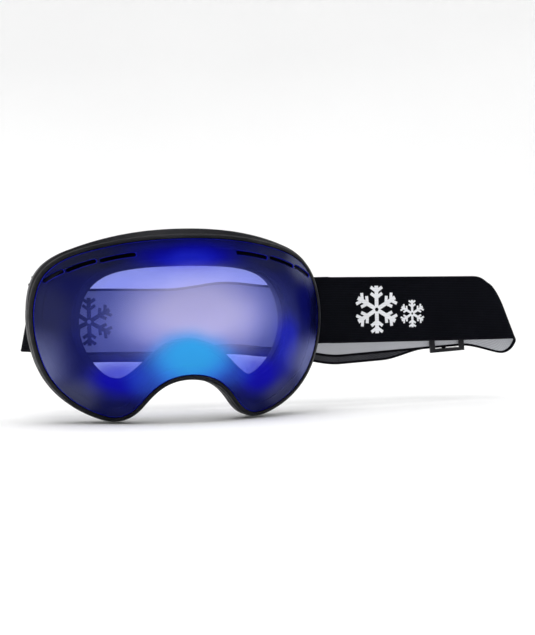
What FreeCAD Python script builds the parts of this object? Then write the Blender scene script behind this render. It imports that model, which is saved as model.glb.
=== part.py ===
"""Ski goggles: spherical double lens, moulded frame, face foam and one elastic strap.

Frame of the part, in millimetres: +Z up as worn, the lens faces -Y, +X is the wearer's left.
The origin is the middle of the face line, where the foam meets the brow, so the lens apex is
in front of it at Y = -apex_depth. The strap is swung out to +X and folded back behind the frame.
"""
import FreeCAD, Part
import math
import os

Vector = FreeCAD.Vector
UPRIGHT = FreeCAD.Placement(Vector(0, 0, 0), FreeCAD.Rotation(Vector(1, 0, 0), 90))    # XY sketch to XZ

DRIVING_SIZES = {
    "apex_depth": 44.0,        # face line to the front of the lens
    "lens_radius": 108.0,      # sphere of the outer lens
    "lens_wall": 1.6,
    "inner_shift": 8.0,        # inner lens sits this far behind the outer one
    "inner_wall": 1.2,
    "rim_width": 2.4,
    "rim_proud": 0.9,
    "edge_gap": 0.3,           # clearance between pieces that part or only meet
    "skin_gap": 0.05,          # clearance between pieces that are bonded
    "shelf_start": 1.2,        # inset where the skirt wall ends and the lens shelf begins
    "shelf_width": 5.5,
    "shelf_wall": 2.5,
    "skirt_depth": 19.0,
    "brow_step": 4.0,          # the skirt swells this far behind the rim's front
    "plate_shift": 13.0,
    "plate_wall": 2.2,
    "foam_inset": 9.0,
    "foam_taper": 1.0,         # each layer of foam is this much smaller outside than the last
    "foam_flare": 1.2,         # and this much wider inside
    "foam_base_depth": 9.0,
    "foam_soft_depth": 7.5,
    "fleece_depth": 1.5,
    "slot_height": 2.5,
    "slot_bow": 0.35,
    "mesh_height": 3.0,
    "mesh_wall": 1.2,
    "pocket_height": 3.8,      # opening in the shelf behind each slot's mesh
    "pocket_stretch": 0.4,
    "gasket_outset": 4.0,
    "gasket_inset": 0.4,
    "vent_foam_wall": 3.0,
    "window_lead": 2.4,        # the skirt's windows start this far behind the brow step
    "window_trail": 1.2,       # and end this far in front of the face plate
    "peg_radius": 1.6,
    "peg_length": 2.4,
    "peg_sink": 0.9,           # where a peg starts inside the lens wall, before trimming
    "peg_clearance": 0.06,
    "strap_width": 42.0,
    "strap_wall": 1.6,
    "strap_level": 4.5,        # height of the strap's middle at the frame
    "bar_radius": 2.0,
    "bar_reach": 82.0,         # strap bars, from the middle plane
    "bar_depth": 30.0,
    "arm_wall": 3.0,
    "arm_gap": 1.2,            # between the webbing's edge and an arm
    "arm_inner": 3.5,          # reach of an arm from the bar, towards the middle plane
    "arm_outer": 2.8,
    "arm_front": 13.0,
    "back_depth": 64.0,        # back run of the strap, behind the face line
    "slider_rise": 3.2,        # degrees that the webbing rises towards the fold, through the slider
    "fold_reach": 230.0,
    "slider_reach": 192.0,
    "slider_length": 24.0,
    "slider_bar": 3.4,
    "slider_wall": 1.6,
    "slider_rail": 2.2,
    "slider_clearance": 1.4,   # slider opening beyond the webbing's width
    "slider_depth": 7.3,       # rails behind the slider's front bars
    "slider_pin": 1.5,
    "rail_inset": 2.5,         # the rails stop this far short of the end bars' outer edges
    "pin_hold": 0.5,           # the middle bar reaches this far into each rail
    "pin_gap": 0.2,            # between the middle bar and the webbing folded round it
    "sewn_length": 14.0,
    "sewn_gap": 2.1,           # from the return layer to the folded end behind it
    "sewn_inset": 1.0,         # the folded end stops this far short of the fold's start
    "seam_gap": 0.2,           # either side of the sliding stretch of the return layer
    "layer_drop": 5.0,         # the return layer hangs this far below the back run
    "drop_run": 30.0,          # length over which it rises again towards the slider
    "return_start": 118.0,     # where the straight, sliding stretch of the return layer begins
    "tack_length": 4.0,
    "tack_wall": 0.5,
    "tack_inset": 2.0,         # thread stops this far short of the webbing's edges
    "tack_start": 1.4,         # from the start of the slider's fold to its stitching
}

# Half outlines in the XZ plane, from the top of the middle plane round to its bottom.
RIM_HALF = [(0, 51.5), (30, 50.0), (55, 45.6), (72, 39.5), (82, 31.0), (87.6, 18.0), (89.2, 3.0),
            (87.0, -14.0), (80.5, -31.0), (68.5, -45.0), (53.0, -54.0), (40.0, -56.5),
            (31.0, -52.3), (24.0, -44.3), (15.0, -36.2), (0, -32.4)]
PORT_HALF = [(0, 33.3), (20, 32.8), (36, 31.0), (48, 27.0), (56, 20.0), (60.5, 10.0), (61.8, -1.0),
             (59, -13.0), (54, -22.0), (47, -29.0), (38.5, -31.8), (31, -28.0), (22, -19.5),
             (12, -12.0), (0, -9.0)]
OUTLINE_SAMPLES = 56
PEG_SAMPLES = 400

# Vent slots in the lens: the two ends of each slot's middle line on the +X side.
SLOT_ENDS = {"inner": ((30.5, 40.1), (48.5, 37.1)),
             "middle": ((52.5, 36.9), (67.0, 32.1)),
             "outer": ((70.2, 31.5), (79.5, 26.4))}
PEG_SPOTS = [(46.0, True), (55.0, False)]    # X and whether the peg is on the top edge
TOP_VENTS = [(5.0, 27.0), (32.0, 60.0)]      # near and far X of each skirt window
BOTTOM_VENTS = [(34.0, 56.0)]
TOP_FOAM_REACH = 64.0
BOTTOM_FOAM_SPAN = (30.0, 60.0)
REGION = 70.0                                # half size of the boxes that pick out a region

# How far the frame stands proud of the rim: everywhere, towards the top, and at the top's middle.
SWELL_ALL, SWELL_TOP, SWELL_CENTRE = 0.4, 1.3, 1.8
SWELL_START, SWELL_RUN, SWELL_REACH = 10.0, 25.0, 62.0

# Height of the back run's middle at each X: the slack webbing waves a little, up to the slider's
# straight stretch, and drops again beyond it.
BACK_LEVELS = [(-82.0, 4.5), (-45.0, 0.5), (5.0, -0.5), (42.0, 3.0), (76.0, 0.0), (118.0, -6.3)]
STRAIGHT_END = 204.0
FOLD_LEVEL = -8.5

# The return layer leaves the right strap bar level and then sags.
SAG_START, SAG_RUN = -66.0, 16.0

# Near the left strap bar, as distances (towards the fold, away from the lens) from the bar's axis.
TAIL_END, TAIL_BEND = (18.0, 0.2), (10.0, 0.4)
SWEEP_START = 12.0                           # where the front run starts to drift back
ANCHOR_TACK = (12.5, 1.2)
LEVEL_REACH, LEVEL_DEPTH = 20.0, 5.0         # the webbing stays level this near the bar
FRONT_LEAD = 3.0                             # the front run starts this far in front of the bar

# The webbing's run: the fold is pushed out of line as the strap is bent open.
FRONT_FALL = 0.012                           # slope of the front run
FRONT_DRIFT = 0.15                           # slope of the front run away from the face line
FOLD_DRIFT = 20.0                            # the fold stands this far behind the strap bar
LEAN = 0.38                                  # slope of the fold's edge
LEAN_START, LEAN_RUN = 26.0, 20.0            # before the fold
FOLD_RADII = (8.6, 8.0)
NEAR_LOOP_RADII = (14.0, 17.0)
SWEEP_RADIUS = 60.0
TAIL_RADIUS = 20.0
ARC_STEP = 18.0                              # degrees
RUN_STEP = 12.0                              # longest straight step between two sections
WRAP_SHARE = 0.98                            # a bend's radius, as a share of its corner's reach

doc = FreeCAD.newDocument("ski_goggles")
sheet = doc.addObject("Spreadsheet::Sheet", "sizes")
for row, (alias, size) in enumerate(DRIVING_SIZES.items(), start=1):
    sheet.set("A%d" % row, alias)
    sheet.set("B%d" % row, str(size))
    sheet.setAlias("B%d" % row, alias)
doc.recompute()

pieces = {}


def size(alias):
    return float(sheet.get(alias))


def bind(obj, **expressions):
    for prop, expression in expressions.items():
        obj.setExpression(prop, expression)
    return obj


# ---------------------------------------------------------------- outlines

def base_curve(half):
    mirrored = [(-x, z) for x, z in reversed(half[1:-1])]
    points = [Vector(x, z, 0) for x, z in half + mirrored]
    curve = Part.BSplineCurve()
    curve.interpolate(Points=points, PeriodicFlag=True)
    return curve


def inset_points(half, inset, swell=None, samples=OUTLINE_SAMPLES):
    """Points of the outline moved inwards by inset, less the local swell of the brow."""
    curve = base_curve(half)
    first, last = curve.FirstParameter, curve.LastParameter
    points = []
    for i in range(samples):
        at = first + (last - first) * i / samples
        spot = curve.value(at)
        along = curve.tangent(at)[0]
        inward = Vector(along.y, -along.x, 0)
        amount = inset - (swell(spot) if swell else 0.0)
        points.append(spot + inward * amount)
    return points


def brow_swell(spot):
    """The frame stands proud of the rim along the top, most at the middle."""
    if spot.y < SWELL_START:
        return SWELL_ALL
    rise = min((spot.y - SWELL_START) / SWELL_RUN, 1.0)
    centre = max(0.0, 1 - (spot.x / SWELL_REACH) ** 2)
    return SWELL_ALL + SWELL_TOP * rise + SWELL_CENTRE * rise * centre


def outline_sketch(name, points):
    curve = Part.BSplineCurve()
    curve.interpolate(Points=points, PeriodicFlag=True)
    sketch = doc.addObject("Sketcher::SketchObject", name)
    sketch.addGeometry(curve, False)
    sketch.Placement = UPRIGHT
    return sketch


def push_through(name, sketch):
    """A sketch pushed through the whole depth of the goggles."""
    solid = doc.addObject("Part::Extrusion", name)
    solid.Base = sketch
    solid.DirMode = "Custom"
    solid.Dir = Vector(0, 1, 0)
    solid.Solid = True
    bind(solid, LengthFwd="2 * sizes.apex_depth", LengthRev="2 * sizes.apex_depth")
    return solid


def prism(name, points):
    return push_through(name, outline_sketch(name + "_outline", points))


# ---------------------------------------------------------------- booleans

def ball(name, radius, shift):
    """A sphere with its centre on the lens axis, moved back by shift."""
    sphere = doc.addObject("Part::Sphere", name)
    bind(sphere, Radius=radius)
    sphere.setExpression("Placement.Base.y", "sizes.lens_radius - sizes.apex_depth + " + shift)
    return sphere


def cut(name, base, tool):
    result = doc.addObject("Part::Cut", name)
    result.Base, result.Tool = base, tool
    return result


def common(name, first, second):
    result = doc.addObject("Part::Common", name)
    result.Base, result.Tool = first, second
    return result


def fuse(name, shapes):
    result = doc.addObject("Part::MultiFuse", name)
    result.Shapes = shapes
    result.Refine = True
    return result


def layer(name, section, front, back):
    """The part of a prism that lies between two spheres: (radius, shift) expressions each."""
    inside = common(name + "_dome", section, ball(name + "_front", *front))
    return cut(name, inside, ball(name + "_back", *back))


def ring(name, outer, inner):
    return cut(name, prism(name + "_outer", outer), prism(name + "_inner", inner))


def block(name, low, high):
    """A box between two corners whose numbers are worked out from the sheet."""
    box = doc.addObject("Part::Box", name)
    box.Length, box.Width, box.Height = (high[i] - low[i] for i in range(3))
    box.Placement.Base = Vector(*low)
    return box


def keep(obj, label):
    obj.Label = label
    pieces[label] = obj


# ---------------------------------------------------------------- lens unit

LENS_FRONT = ("sizes.lens_radius", "0")
LENS_BACK = ("sizes.lens_radius - sizes.lens_wall", "0")
BEHIND_LENS = "sizes.lens_radius - sizes.lens_wall - sizes.skin_gap"
SHELF_FRONT = "sizes.lens_radius - sizes.lens_wall - sizes.edge_gap"
SHELF_BACK = SHELF_FRONT + " - sizes.shelf_wall"
rim_inner = inset_points(RIM_HALF, size("rim_width"))
lens_edge = inset_points(RIM_HALF, size("rim_width") + size("edge_gap"))


def slot_sketch(name, ends, side, height, stretch):
    """A slot that bows along the rim, with round ends."""
    half = height / 2.0
    start, end = (Vector(x * side, z, 0) for x, z in ends)
    along = (end - start).normalize()
    out = Vector(-along.y, along.x, 0) * side
    start, end = start - along * stretch, end + along * stretch
    middle = (start + end) / 2.0 + out * size("slot_bow")
    upper = [spot + out * half for spot in (start, middle, end)]
    lower = [spot - out * half for spot in (start, middle, end)]
    sketch = doc.addObject("Sketcher::SketchObject", name)
    sketch.addGeometry([Part.Arc(*upper), Part.Arc(upper[2], end + along * half, lower[2]),
                        Part.Arc(lower[2], lower[1], lower[0]),
                        Part.Arc(lower[0], start - along * half, upper[0])], False)
    sketch.Placement = UPRIGHT
    return sketch


def slot_prism(name, ends, side, height, stretch=0.0):
    return push_through(name, slot_sketch(name + "_outline", ends, side, height, stretch))


def slot_set(prefix, height, stretch):
    """One prism behind each of the lens's six slots."""
    prisms = {}
    for side_name, side in (("left", -1), ("right", 1)):
        for place, ends in SLOT_ENDS.items():
            name = "%s_%s" % (side_name, place)
            prisms[name] = slot_prism("%s_%s" % (prefix, name), ends, side, height, stretch)
    return prisms


def build_lens():
    blank = layer("lens_blank", prism("lens_body", lens_edge), LENS_FRONT, LENS_BACK)
    slots = slot_set("slot", size("slot_height"), 0.0)
    keep(cut("lens_with_slots", blank, fuse("all_slots", list(slots.values()))), "outer_lens")

    inside_rim = prism("mesh_limit", lens_edge)
    for name, backing in slot_set("backing", size("mesh_height"), 0.0).items():
        mesh = layer("mesh_" + name, common("mesh_section_" + name, backing, inside_rim),
                     (BEHIND_LENS, "0"), (BEHIND_LENS + " - sizes.mesh_wall", "0"))
        keep(mesh, "lens_vent_mesh_" + name)

    inner_edge = inset_points(PORT_HALF, -size("gasket_outset"))
    inner = layer("inner_body", prism("inner_section", inner_edge),
                  ("sizes.lens_radius", "sizes.inner_shift"),
                  ("sizes.lens_radius - sizes.inner_wall", "sizes.inner_shift"))
    keep(inner, "inner_lens")
    gasket_inner = inset_points(PORT_HALF, -size("gasket_inset"))
    gasket = layer("gasket_body", ring("gasket_section", inner_edge, gasket_inner),
                   (BEHIND_LENS, "0"), ("sizes.lens_radius + sizes.skin_gap", "sizes.inner_shift"))
    keep(gasket, "lens_spacer_foam")


def peg_places():
    """The spots of the inset rim line that are nearest the pegs' reach."""
    inset = size("rim_width") + size("shelf_width") / 2.0
    line = inset_points(RIM_HALF, inset, samples=PEG_SAMPLES)
    places = []
    for side in (-1, 1):
        for reach, top in PEG_SPOTS:
            row = [spot for spot in line if (spot.y > 0) == top]
            places.append(min(row, key=lambda spot: abs(spot.x - reach * side)))
    return places


def lens_depth(spot):
    """Y of the lens's front at an outline point."""
    radius = size("lens_radius")
    return radius - size("apex_depth") - math.sqrt(radius ** 2 - spot.x ** 2 - spot.y ** 2)


def peg_cylinders(name, clearance):
    pegs = []
    for index, spot in enumerate(peg_places()):
        peg = doc.addObject("Part::Cylinder", "%s_%d" % (name, index))
        peg.setExpression("Radius", "sizes.peg_radius + %g" % clearance)
        peg.setExpression("Height", "sizes.peg_length + sizes.lens_wall")
        start = Vector(spot.x, lens_depth(spot) + size("peg_sink"), spot.y)
        peg.Placement = FreeCAD.Placement(start, FreeCAD.Rotation(Vector(1, 0, 0), -90))
        pegs.append(peg)
    return pegs


def build_pegs():
    """Four snap pegs on the back of the lens; the part inside the lens wall is taken away."""
    wall = ball("peg_trim", "sizes.lens_radius - sizes.lens_wall", "0")
    keep(common("pegs_trimmed", fuse("peg_set", peg_cylinders("peg", 0.0)), wall), "lens_pegs")


# ---------------------------------------------------------------- frame

def vent_windows():
    """Windows through the skirt between the lens shelf and the face plate."""
    outside = inset_points(RIM_HALF, -2 * size("rim_width"))
    inside = inset_points(RIM_HALF, size("rim_width") + size("edge_gap"))
    band = layer("vent_band", ring("vent_section", outside, inside),
                 ("sizes.lens_radius", "sizes.brow_step + sizes.window_lead"),
                 ("sizes.lens_radius", "sizes.plate_shift - sizes.window_trail"))
    windows = []
    for label, spans, low, high in (("top", TOP_VENTS, 0, REGION), ("bottom", BOTTOM_VENTS, -REGION, 0)):
        for number, (near, far) in enumerate(spans):
            for side in (-1, 1):
                start, end = sorted((near * side, far * side))
                name = "window_%s_%d_%s" % (label, number, "left" if side < 0 else "right")
                windows.append(block(name, (start, -REGION, low), (end, REGION, high)))
    return common("vent_windows", band, fuse("window_boxes", windows))


def vent_pockets():
    """Openings in the lens shelf behind the slots, so that the mesh sits free and air goes through."""
    pockets = slot_set("pocket", size("pocket_height"), size("pocket_stretch"))
    opened = fuse("all_pockets", list(pockets.values()))
    return common("shelf_pockets", opened, prism("pocket_limit", rim_inner))


def ear(side_name, side):
    """Two arms and the bar that the strap goes round, moulded with the frame."""
    half_gap = size("strap_width") / 2.0 + size("arm_gap")
    level, reach, depth = size("strap_level"), size("bar_reach"), size("bar_depth")
    shapes = []
    for label, start in (("upper", level + half_gap), ("lower", level - half_gap - size("arm_wall"))):
        near, far = sorted(((reach - size("arm_inner")) * side, (reach + size("arm_outer")) * side))
        shapes.append(block("arm_%s_%s" % (label, side_name), (near, depth - size("arm_front"), start),
                            (far, depth + size("arm_wall"), start + size("arm_wall"))))
    bar = doc.addObject("Part::Cylinder", "bar_" + side_name)
    bind(bar, Radius="sizes.bar_radius",
         Height="sizes.strap_width + 2 * sizes.arm_gap + 2 * sizes.arm_wall")
    bar.Placement.Base = Vector(reach * side, depth, level - half_gap - size("arm_wall"))
    return shapes + [bar]


def build_frame():
    rim = layer("rim", ring("rim_section", inset_points(RIM_HALF, 0.0), rim_inner),
                ("sizes.lens_radius + sizes.rim_proud", "0"), ("sizes.lens_radius", "sizes.skirt_depth"))
    swollen = inset_points(RIM_HALF, 0.0, swell=brow_swell)
    wall_inside = inset_points(RIM_HALF, size("shelf_start"))
    skirt = layer("skirt", ring("skirt_section", swollen, wall_inside),
                  ("sizes.lens_radius", "sizes.brow_step"), ("sizes.lens_radius", "sizes.skirt_depth"))
    shelf_inside = inset_points(RIM_HALF, size("rim_width") + size("shelf_width"))
    shelf = layer("shelf", ring("shelf_section", wall_inside, shelf_inside),
                  (SHELF_FRONT, "0"), (SHELF_BACK, "0"))
    ears = ear("left", -1) + ear("right", 1)
    solid = fuse("frame_solid", [rim, skirt, shelf] + ears)
    holes = fuse("peg_holes", peg_cylinders("peg_hole", size("peg_clearance")) + [vent_pockets()])
    keep(cut("frame_drilled", cut("frame_vented", solid, vent_windows()), holes), "frame")

    port = inset_points(PORT_HALF, 0.0)
    plate_outer = inset_points(RIM_HALF, size("rim_width") + size("edge_gap"))
    plate = layer("plate_body", ring("plate_section", plate_outer, port),
                  ("sizes.lens_radius", "sizes.plate_shift"),
                  ("sizes.lens_radius", "sizes.plate_shift + sizes.plate_wall"))
    keep(plate, "face_plate")


def build_vent_foam():
    wall = size("rim_width") + size("edge_gap")
    strip = layer("vent_strip", ring("vent_strip_section", inset_points(RIM_HALF, wall),
                                     inset_points(RIM_HALF, wall + size("vent_foam_wall"))),
                  (SHELF_BACK + " - sizes.edge_gap", "0"),
                  ("sizes.lens_radius", "sizes.plate_shift - sizes.edge_gap"))
    top = block("top_strip_box", (-TOP_FOAM_REACH, -REGION, 0), (TOP_FOAM_REACH, REGION, REGION))
    keep(common("top_strip", strip, top), "top_vent_foam")
    for side_name, side in (("left", -1), ("right", 1)):
        near, far = sorted(reach * side for reach in BOTTOM_FOAM_SPAN)
        box = block("bottom_strip_box_" + side_name, (near, -REGION, -REGION), (far, REGION, 0))
        keep(common("bottom_strip_" + side_name, strip, box), "bottom_vent_foam_" + side_name)


# ---------------------------------------------------------------- face foam

def build_face_foam():
    start = "sizes.plate_shift + sizes.plate_wall + 2 * sizes.skin_gap"
    stack = [("foam_base", "sizes.foam_base_depth"), ("foam_soft", "sizes.foam_soft_depth"),
             ("face_fleece", "sizes.fleece_depth")]
    for step, (name, depth) in enumerate(stack):
        outer = inset_points(RIM_HALF, size("foam_inset") + step * size("foam_taper"))
        inner = inset_points(PORT_HALF, -step * size("foam_flare"))
        body = layer(name + "_body", ring(name + "_section", outer, inner),
                     ("sizes.lens_radius", start), ("sizes.lens_radius", "%s + %s" % (start, depth)))
        keep(body, name)
        start = "%s + %s + 2 * sizes.skin_gap" % (start, depth)


# ---------------------------------------------------------------- strap

def smooth(share):
    """0 to 1 with level ends."""
    share = min(max(share, 0.0), 1.0)
    return share * share * (3 - 2 * share)


def straight_steps(start, end, heading):
    """Stations between two spots of a straight run, without its ends."""
    steps = int(math.ceil((end - start).Length / RUN_STEP))
    return [(start + (end - start) * (step / steps), heading) for step in range(1, steps)]


def rounded_route(corners):
    """Plan stations (spot, direction) along straight runs joined by tangent arcs."""
    stations = []
    for i, (x, y, radius) in enumerate(corners):
        here = Vector(x, y, 0)
        if radius == 0:
            other = corners[i + 1] if i == 0 else corners[i - 1]
            run = Vector(other[0], other[1], 0) - here
            run.normalize()
            heading = run if i == 0 else run * -1
            if stations:
                stations += straight_steps(stations[-1][0], here, heading)
            stations.append((here, heading))
            continue
        before = here - Vector(*corners[i - 1][:2], 0)
        after = Vector(*corners[i + 1][:2], 0) - here
        before.normalize()
        after.normalize()
        turn = before.getAngle(after)
        reach = radius * math.tan(turn / 2.0)
        way = 1 if before.cross(after).z > 0 else -1
        centre = here - before * reach + Vector(-before.y, before.x, 0) * radius * way
        stations += straight_steps(stations[-1][0], here - before * reach, before)
        steps = max(2, int(math.degrees(turn) / ARC_STEP))
        for step in range(steps + 1):
            spin = FreeCAD.Rotation(Vector(0, 0, 1), math.degrees(turn) * step / steps * way)
            heading = spin.multVec(before)
            stations.append((centre - Vector(-heading.y, heading.x, 0) * radius * way, heading))
    return stations


def back_level(x):
    """Height of the back run's middle: smooth between its levels, straight through the slider."""
    start_x, start = BACK_LEVELS[-1]
    end = start + math.tan(math.radians(size("slider_rise"))) * (STRAIGHT_END - start_x)
    if start_x <= x <= STRAIGHT_END:
        return start + (end - start) * (x - start_x) / (STRAIGHT_END - start_x)
    levels = BACK_LEVELS + [(STRAIGHT_END, end), (size("fold_reach"), FOLD_LEVEL)]
    for (low_x, low), (high_x, high) in zip(levels, levels[1:]):
        if x < high_x:
            return low + (high - low) * smooth((x - low_x) / (high_x - low_x))
    return FOLD_LEVEL


def behind_back_run(spot):
    return spot.y > size("back_depth") + size("strap_wall")


def sag(spot):
    """How far the return layer hangs below the back run."""
    if not behind_back_run(spot):
        return 0.0
    from_bar = smooth((spot.x - SAG_START) / SAG_RUN)
    to_slider = smooth((fold_start() - spot.x) / size("drop_run"))
    return size("layer_drop") * from_bar * to_slider


def strap_height(spot):
    """Middle of the webbing above the origin: level at the front, waving along the back run."""
    back_line = back_level(spot.x) - sag(spot)
    front_line = size("strap_level") - FRONT_FALL * (spot.x - size("bar_reach"))
    if spot.x < 0:
        return back_line
    if spot.x < size("bar_reach") + LEVEL_REACH and spot.y < size("bar_depth") + LEVEL_DEPTH:
        return size("strap_level")
    front_depth = size("bar_depth") - FRONT_LEAD + FRONT_DRIFT * (spot.x - size("bar_reach"))
    share = (spot.y - front_depth) / (size("back_depth") - front_depth)
    share = min(max(share, 0.0), 1.0)
    return front_line + (back_line - front_line) * share


def strap_lean(spot):
    """How far the lower edge is pushed to +X, as a slope: at the open fold, or square to the slider."""
    if spot.x > size("return_start") and behind_back_run(spot):
        share = min((spot.x - size("return_start")) / (fold_start() - size("return_start")), 1.0)
        return math.tan(math.radians(size("slider_rise"))) * share
    start = size("fold_reach") - LEAN_START
    share = min(max((spot.x - start) / LEAN_RUN, 0.0), 1.0)
    return LEAN * share


def webbing(name, corners):
    """A closed strip of webbing along the route, lofted through its cross sections."""
    half_width, half_wall = size("strap_width") / 2.0, size("strap_wall") / 2.0
    sections = []
    for spot, heading in rounded_route(corners):
        across = Vector(-heading.y, heading.x, 0) * half_wall
        up = Vector(-strap_lean(spot), 0, 1) * half_width
        middle = Vector(spot.x, spot.y, strap_height(spot))
        corner_points = [middle + across + up, middle - across + up,
                         middle - across - up, middle + across - up]
        sections.append(Part.makePolygon(corner_points + corner_points[:1]))
    feature = doc.addObject("Part::Feature", name)
    feature.Shape = Part.makeLoft(sections, True, True)
    return feature


def tangent_corner(centre, wrap, spot, corner_x):
    """The corner at corner_x on the line from a spot that clears a bar by the wrap's radius."""
    run = spot - centre
    slope = math.tan(math.asin(wrap / run.Length) - math.atan2(run.y, abs(run.x)))
    return corner_x, spot.y + slope * abs(spot.x - corner_x)


def build_strap():
    reach, depth = size("bar_reach"), size("bar_depth")
    wrap = size("bar_radius") + size("edge_gap") + size("strap_wall") / 2.0
    turn = wrap * WRAP_SHARE
    back = size("back_depth")
    behind = back + size("strap_wall") + size("edge_gap")
    fold = size("fold_reach")
    tail = Vector(reach + TAIL_BEND[0], depth + TAIL_BEND[1], 0)
    end_corner = tangent_corner(Vector(reach, depth, 0), wrap, tail, reach - wrap)
    main = [(reach + TAIL_END[0], depth + TAIL_END[1], 0),
            (tail.x, tail.y, TAIL_RADIUS),
            end_corner + (turn,),
            (reach - wrap, depth - wrap, turn),
            (reach + SWEEP_START, depth - wrap, SWEEP_RADIUS),
            (fold, depth - wrap + FOLD_DRIFT, FOLD_RADII[0]),
            (fold, back, FOLD_RADII[1]),
            (-reach + wrap, back, NEAR_LOOP_RADII[0]),
            (-reach + wrap, depth - wrap, turn),
            (-reach - wrap, depth - wrap, turn),
            (-reach - wrap, behind, NEAR_LOOP_RADII[1]),
            (size("return_start"), behind, 0)]
    keep(webbing("webbing_main", main), "strap_webbing")

    seam = size("seam_gap")
    sliding = [(size("return_start") + seam, behind, 0), (fold_start() - seam, behind, 0)]
    keep(webbing("webbing_return", sliding), "strap_return")


def fold_start():
    """Where the sliding stretch of the return layer meets the fold sewn round the slider's bar."""
    return size("slider_reach") - size("sewn_length")


# ---------------------------------------------------------------- slider

def rectangle(sketch, centre_u, centre_v, wide, high):
    u, v = wide / 2.0, high / 2.0
    corners = [Vector(centre_u - u, centre_v - v, 0), Vector(centre_u + u, centre_v - v, 0),
               Vector(centre_u + u, centre_v + v, 0), Vector(centre_u - u, centre_v + v, 0)]
    for i in range(4):
        sketch.addGeometry(Part.LineSegment(corners[i], corners[(i + 1) % 4]), False)


def body_sketch(body, name, role, offset):
    sketch = body.newObject("Sketcher::SketchObject", name)
    plane = [feature for feature in body.Origin.OriginFeatures if feature.Role == role][0]
    sketch.AttachmentSupport = [(plane, "")]
    sketch.MapMode = "FlatFace"
    sketch.AttachmentOffset = FreeCAD.Placement(Vector(0, 0, offset), FreeCAD.Rotation())
    return sketch


def pad(body, name, sketch, length, reverse):
    feature = body.newObject("PartDesign::Pad", name)
    feature.Profile = sketch
    feature.setExpression("Length", length)
    feature.Reversed = reverse
    return feature


def build_slider():
    """A strap slider: two end bars in front of the webbing, the middle bar behind it."""
    clear_height = size("strap_width") + size("slider_clearance")
    rail = size("slider_rail")
    wide = size("slider_length")
    front = size("strap_wall") / 2.0 + size("edge_gap") + size("slider_wall")
    layer_step = size("strap_wall") + size("edge_gap")
    wrap = size("slider_pin") + size("pin_gap") + size("strap_wall") / 2.0

    body = doc.addObject("PartDesign::Body", "slider_body")
    face = body_sketch(body, "slider_face", "XZ_Plane", front)
    rectangle(face, 0, 0, wide, clear_height + 2 * rail)
    rectangle(face, 0, 0, wide - 2 * size("slider_bar"), clear_height)
    pad(body, "slider_front", face, "sizes.slider_wall", True)
    rails = body_sketch(body, "slider_rails", "XZ_Plane", front)
    for way in (-1, 1):
        rectangle(rails, 0, way * (clear_height + rail) / 2.0, wide - 2 * size("rail_inset"), rail)
    pad(body, "slider_rail_pad", rails, "sizes.slider_wall + sizes.slider_depth", True)
    pin = body_sketch(body, "slider_pin_section", "XY_Plane", -clear_height / 2.0 - size("pin_hold"))
    pin_middle = Vector(0, layer_step + wrap, 0)
    pin.addGeometry(Part.Circle(pin_middle, Vector(0, 0, 1), size("slider_pin")), False)
    pin_length = "sizes.strap_width + sizes.slider_clearance + 2 * sizes.pin_hold"
    pad(body, "slider_pin_pad", pin, pin_length, False)
    middle = Vector(size("slider_reach"), size("back_depth"), 0)
    middle.z = strap_height(middle)
    body.Placement = FreeCAD.Placement(middle, FreeCAD.Rotation(Vector(0, 1, 0), -size("slider_rise")))
    keep(body, "slider")

    behind = size("back_depth") + layer_step
    reach = size("slider_reach")
    tail = Vector(reach - size("sewn_length") / 2.0, behind + size("sewn_gap"), 0)
    turn = wrap * WRAP_SHARE
    corner = tangent_corner(Vector(reach, behind + wrap, 0), wrap, tail, reach + wrap)
    sewn = [(fold_start(), behind, 0),
            (reach + wrap, behind, turn),
            corner + (turn,),
            (tail.x, tail.y, 2 * turn),
            (fold_start() + size("sewn_inset"), tail.y, 0)]
    keep(webbing("webbing_slider_fold", sewn), "slider_strap_fold")
    tack_y = tail.y + size("strap_wall") / 2.0 + size("skin_gap")
    keep(stitch_block("tack_slider", fold_start() + size("tack_start"), tack_y), "slider_stitching")


def stitch_block(name, start_x, start_y):
    """The raised band of thread that locks a folded webbing end."""
    box = doc.addObject("Part::Box", name)
    bind(box, Length="sizes.tack_length", Width="sizes.tack_wall",
         Height="sizes.strap_width - 2 * sizes.tack_inset")
    foot = strap_height(Vector(start_x, start_y, 0)) - size("strap_width") / 2.0
    box.Placement.Base = Vector(start_x, start_y, foot + size("tack_inset"))
    return box


def build_anchor_stitching():
    start_x, start_y = size("bar_reach") + ANCHOR_TACK[0], size("bar_depth") + ANCHOR_TACK[1]
    keep(stitch_block("tack_anchor", start_x, start_y), "anchor_stitching")


# ---------------------------------------------------------------- build, check and write

def write_parts():
    doc.recompute()
    for obj in doc.Objects:
        if "Invalid" in obj.State or "Error" in obj.State:
            raise SystemExit("%s failed: %s" % (obj.Name, obj.State))
    for label, obj in pieces.items():
        shape = obj.Shape
        if shape.isNull() or not shape.isValid() or shape.Volume <= 0:
            raise SystemExit("%s has no valid shape" % label)
    os.makedirs("parts", exist_ok=True)
    for label, obj in pieces.items():
        obj.Shape.exportStep("parts/%s.step" % label)
        box = obj.Shape.BoundBox
        print("%-28s %7.2f cm3  %d solids  x %.1f %.1f  y %.1f %.1f  z %.1f %.1f" % (
            label, obj.Shape.Volume / 1000.0, len(obj.Shape.Solids), box.XMin, box.XMax,
            box.YMin, box.YMax, box.ZMin, box.ZMax))


build_lens()
build_pegs()
build_frame()
build_vent_foam()
build_face_foam()
build_strap()
build_slider()
build_anchor_stitching()
write_parts()
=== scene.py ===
import math

import bmesh
import bpy
import numpy as np
from mathutils import Matrix, Vector
from mathutils.geometry import delaunay_2d_cdt


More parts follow.
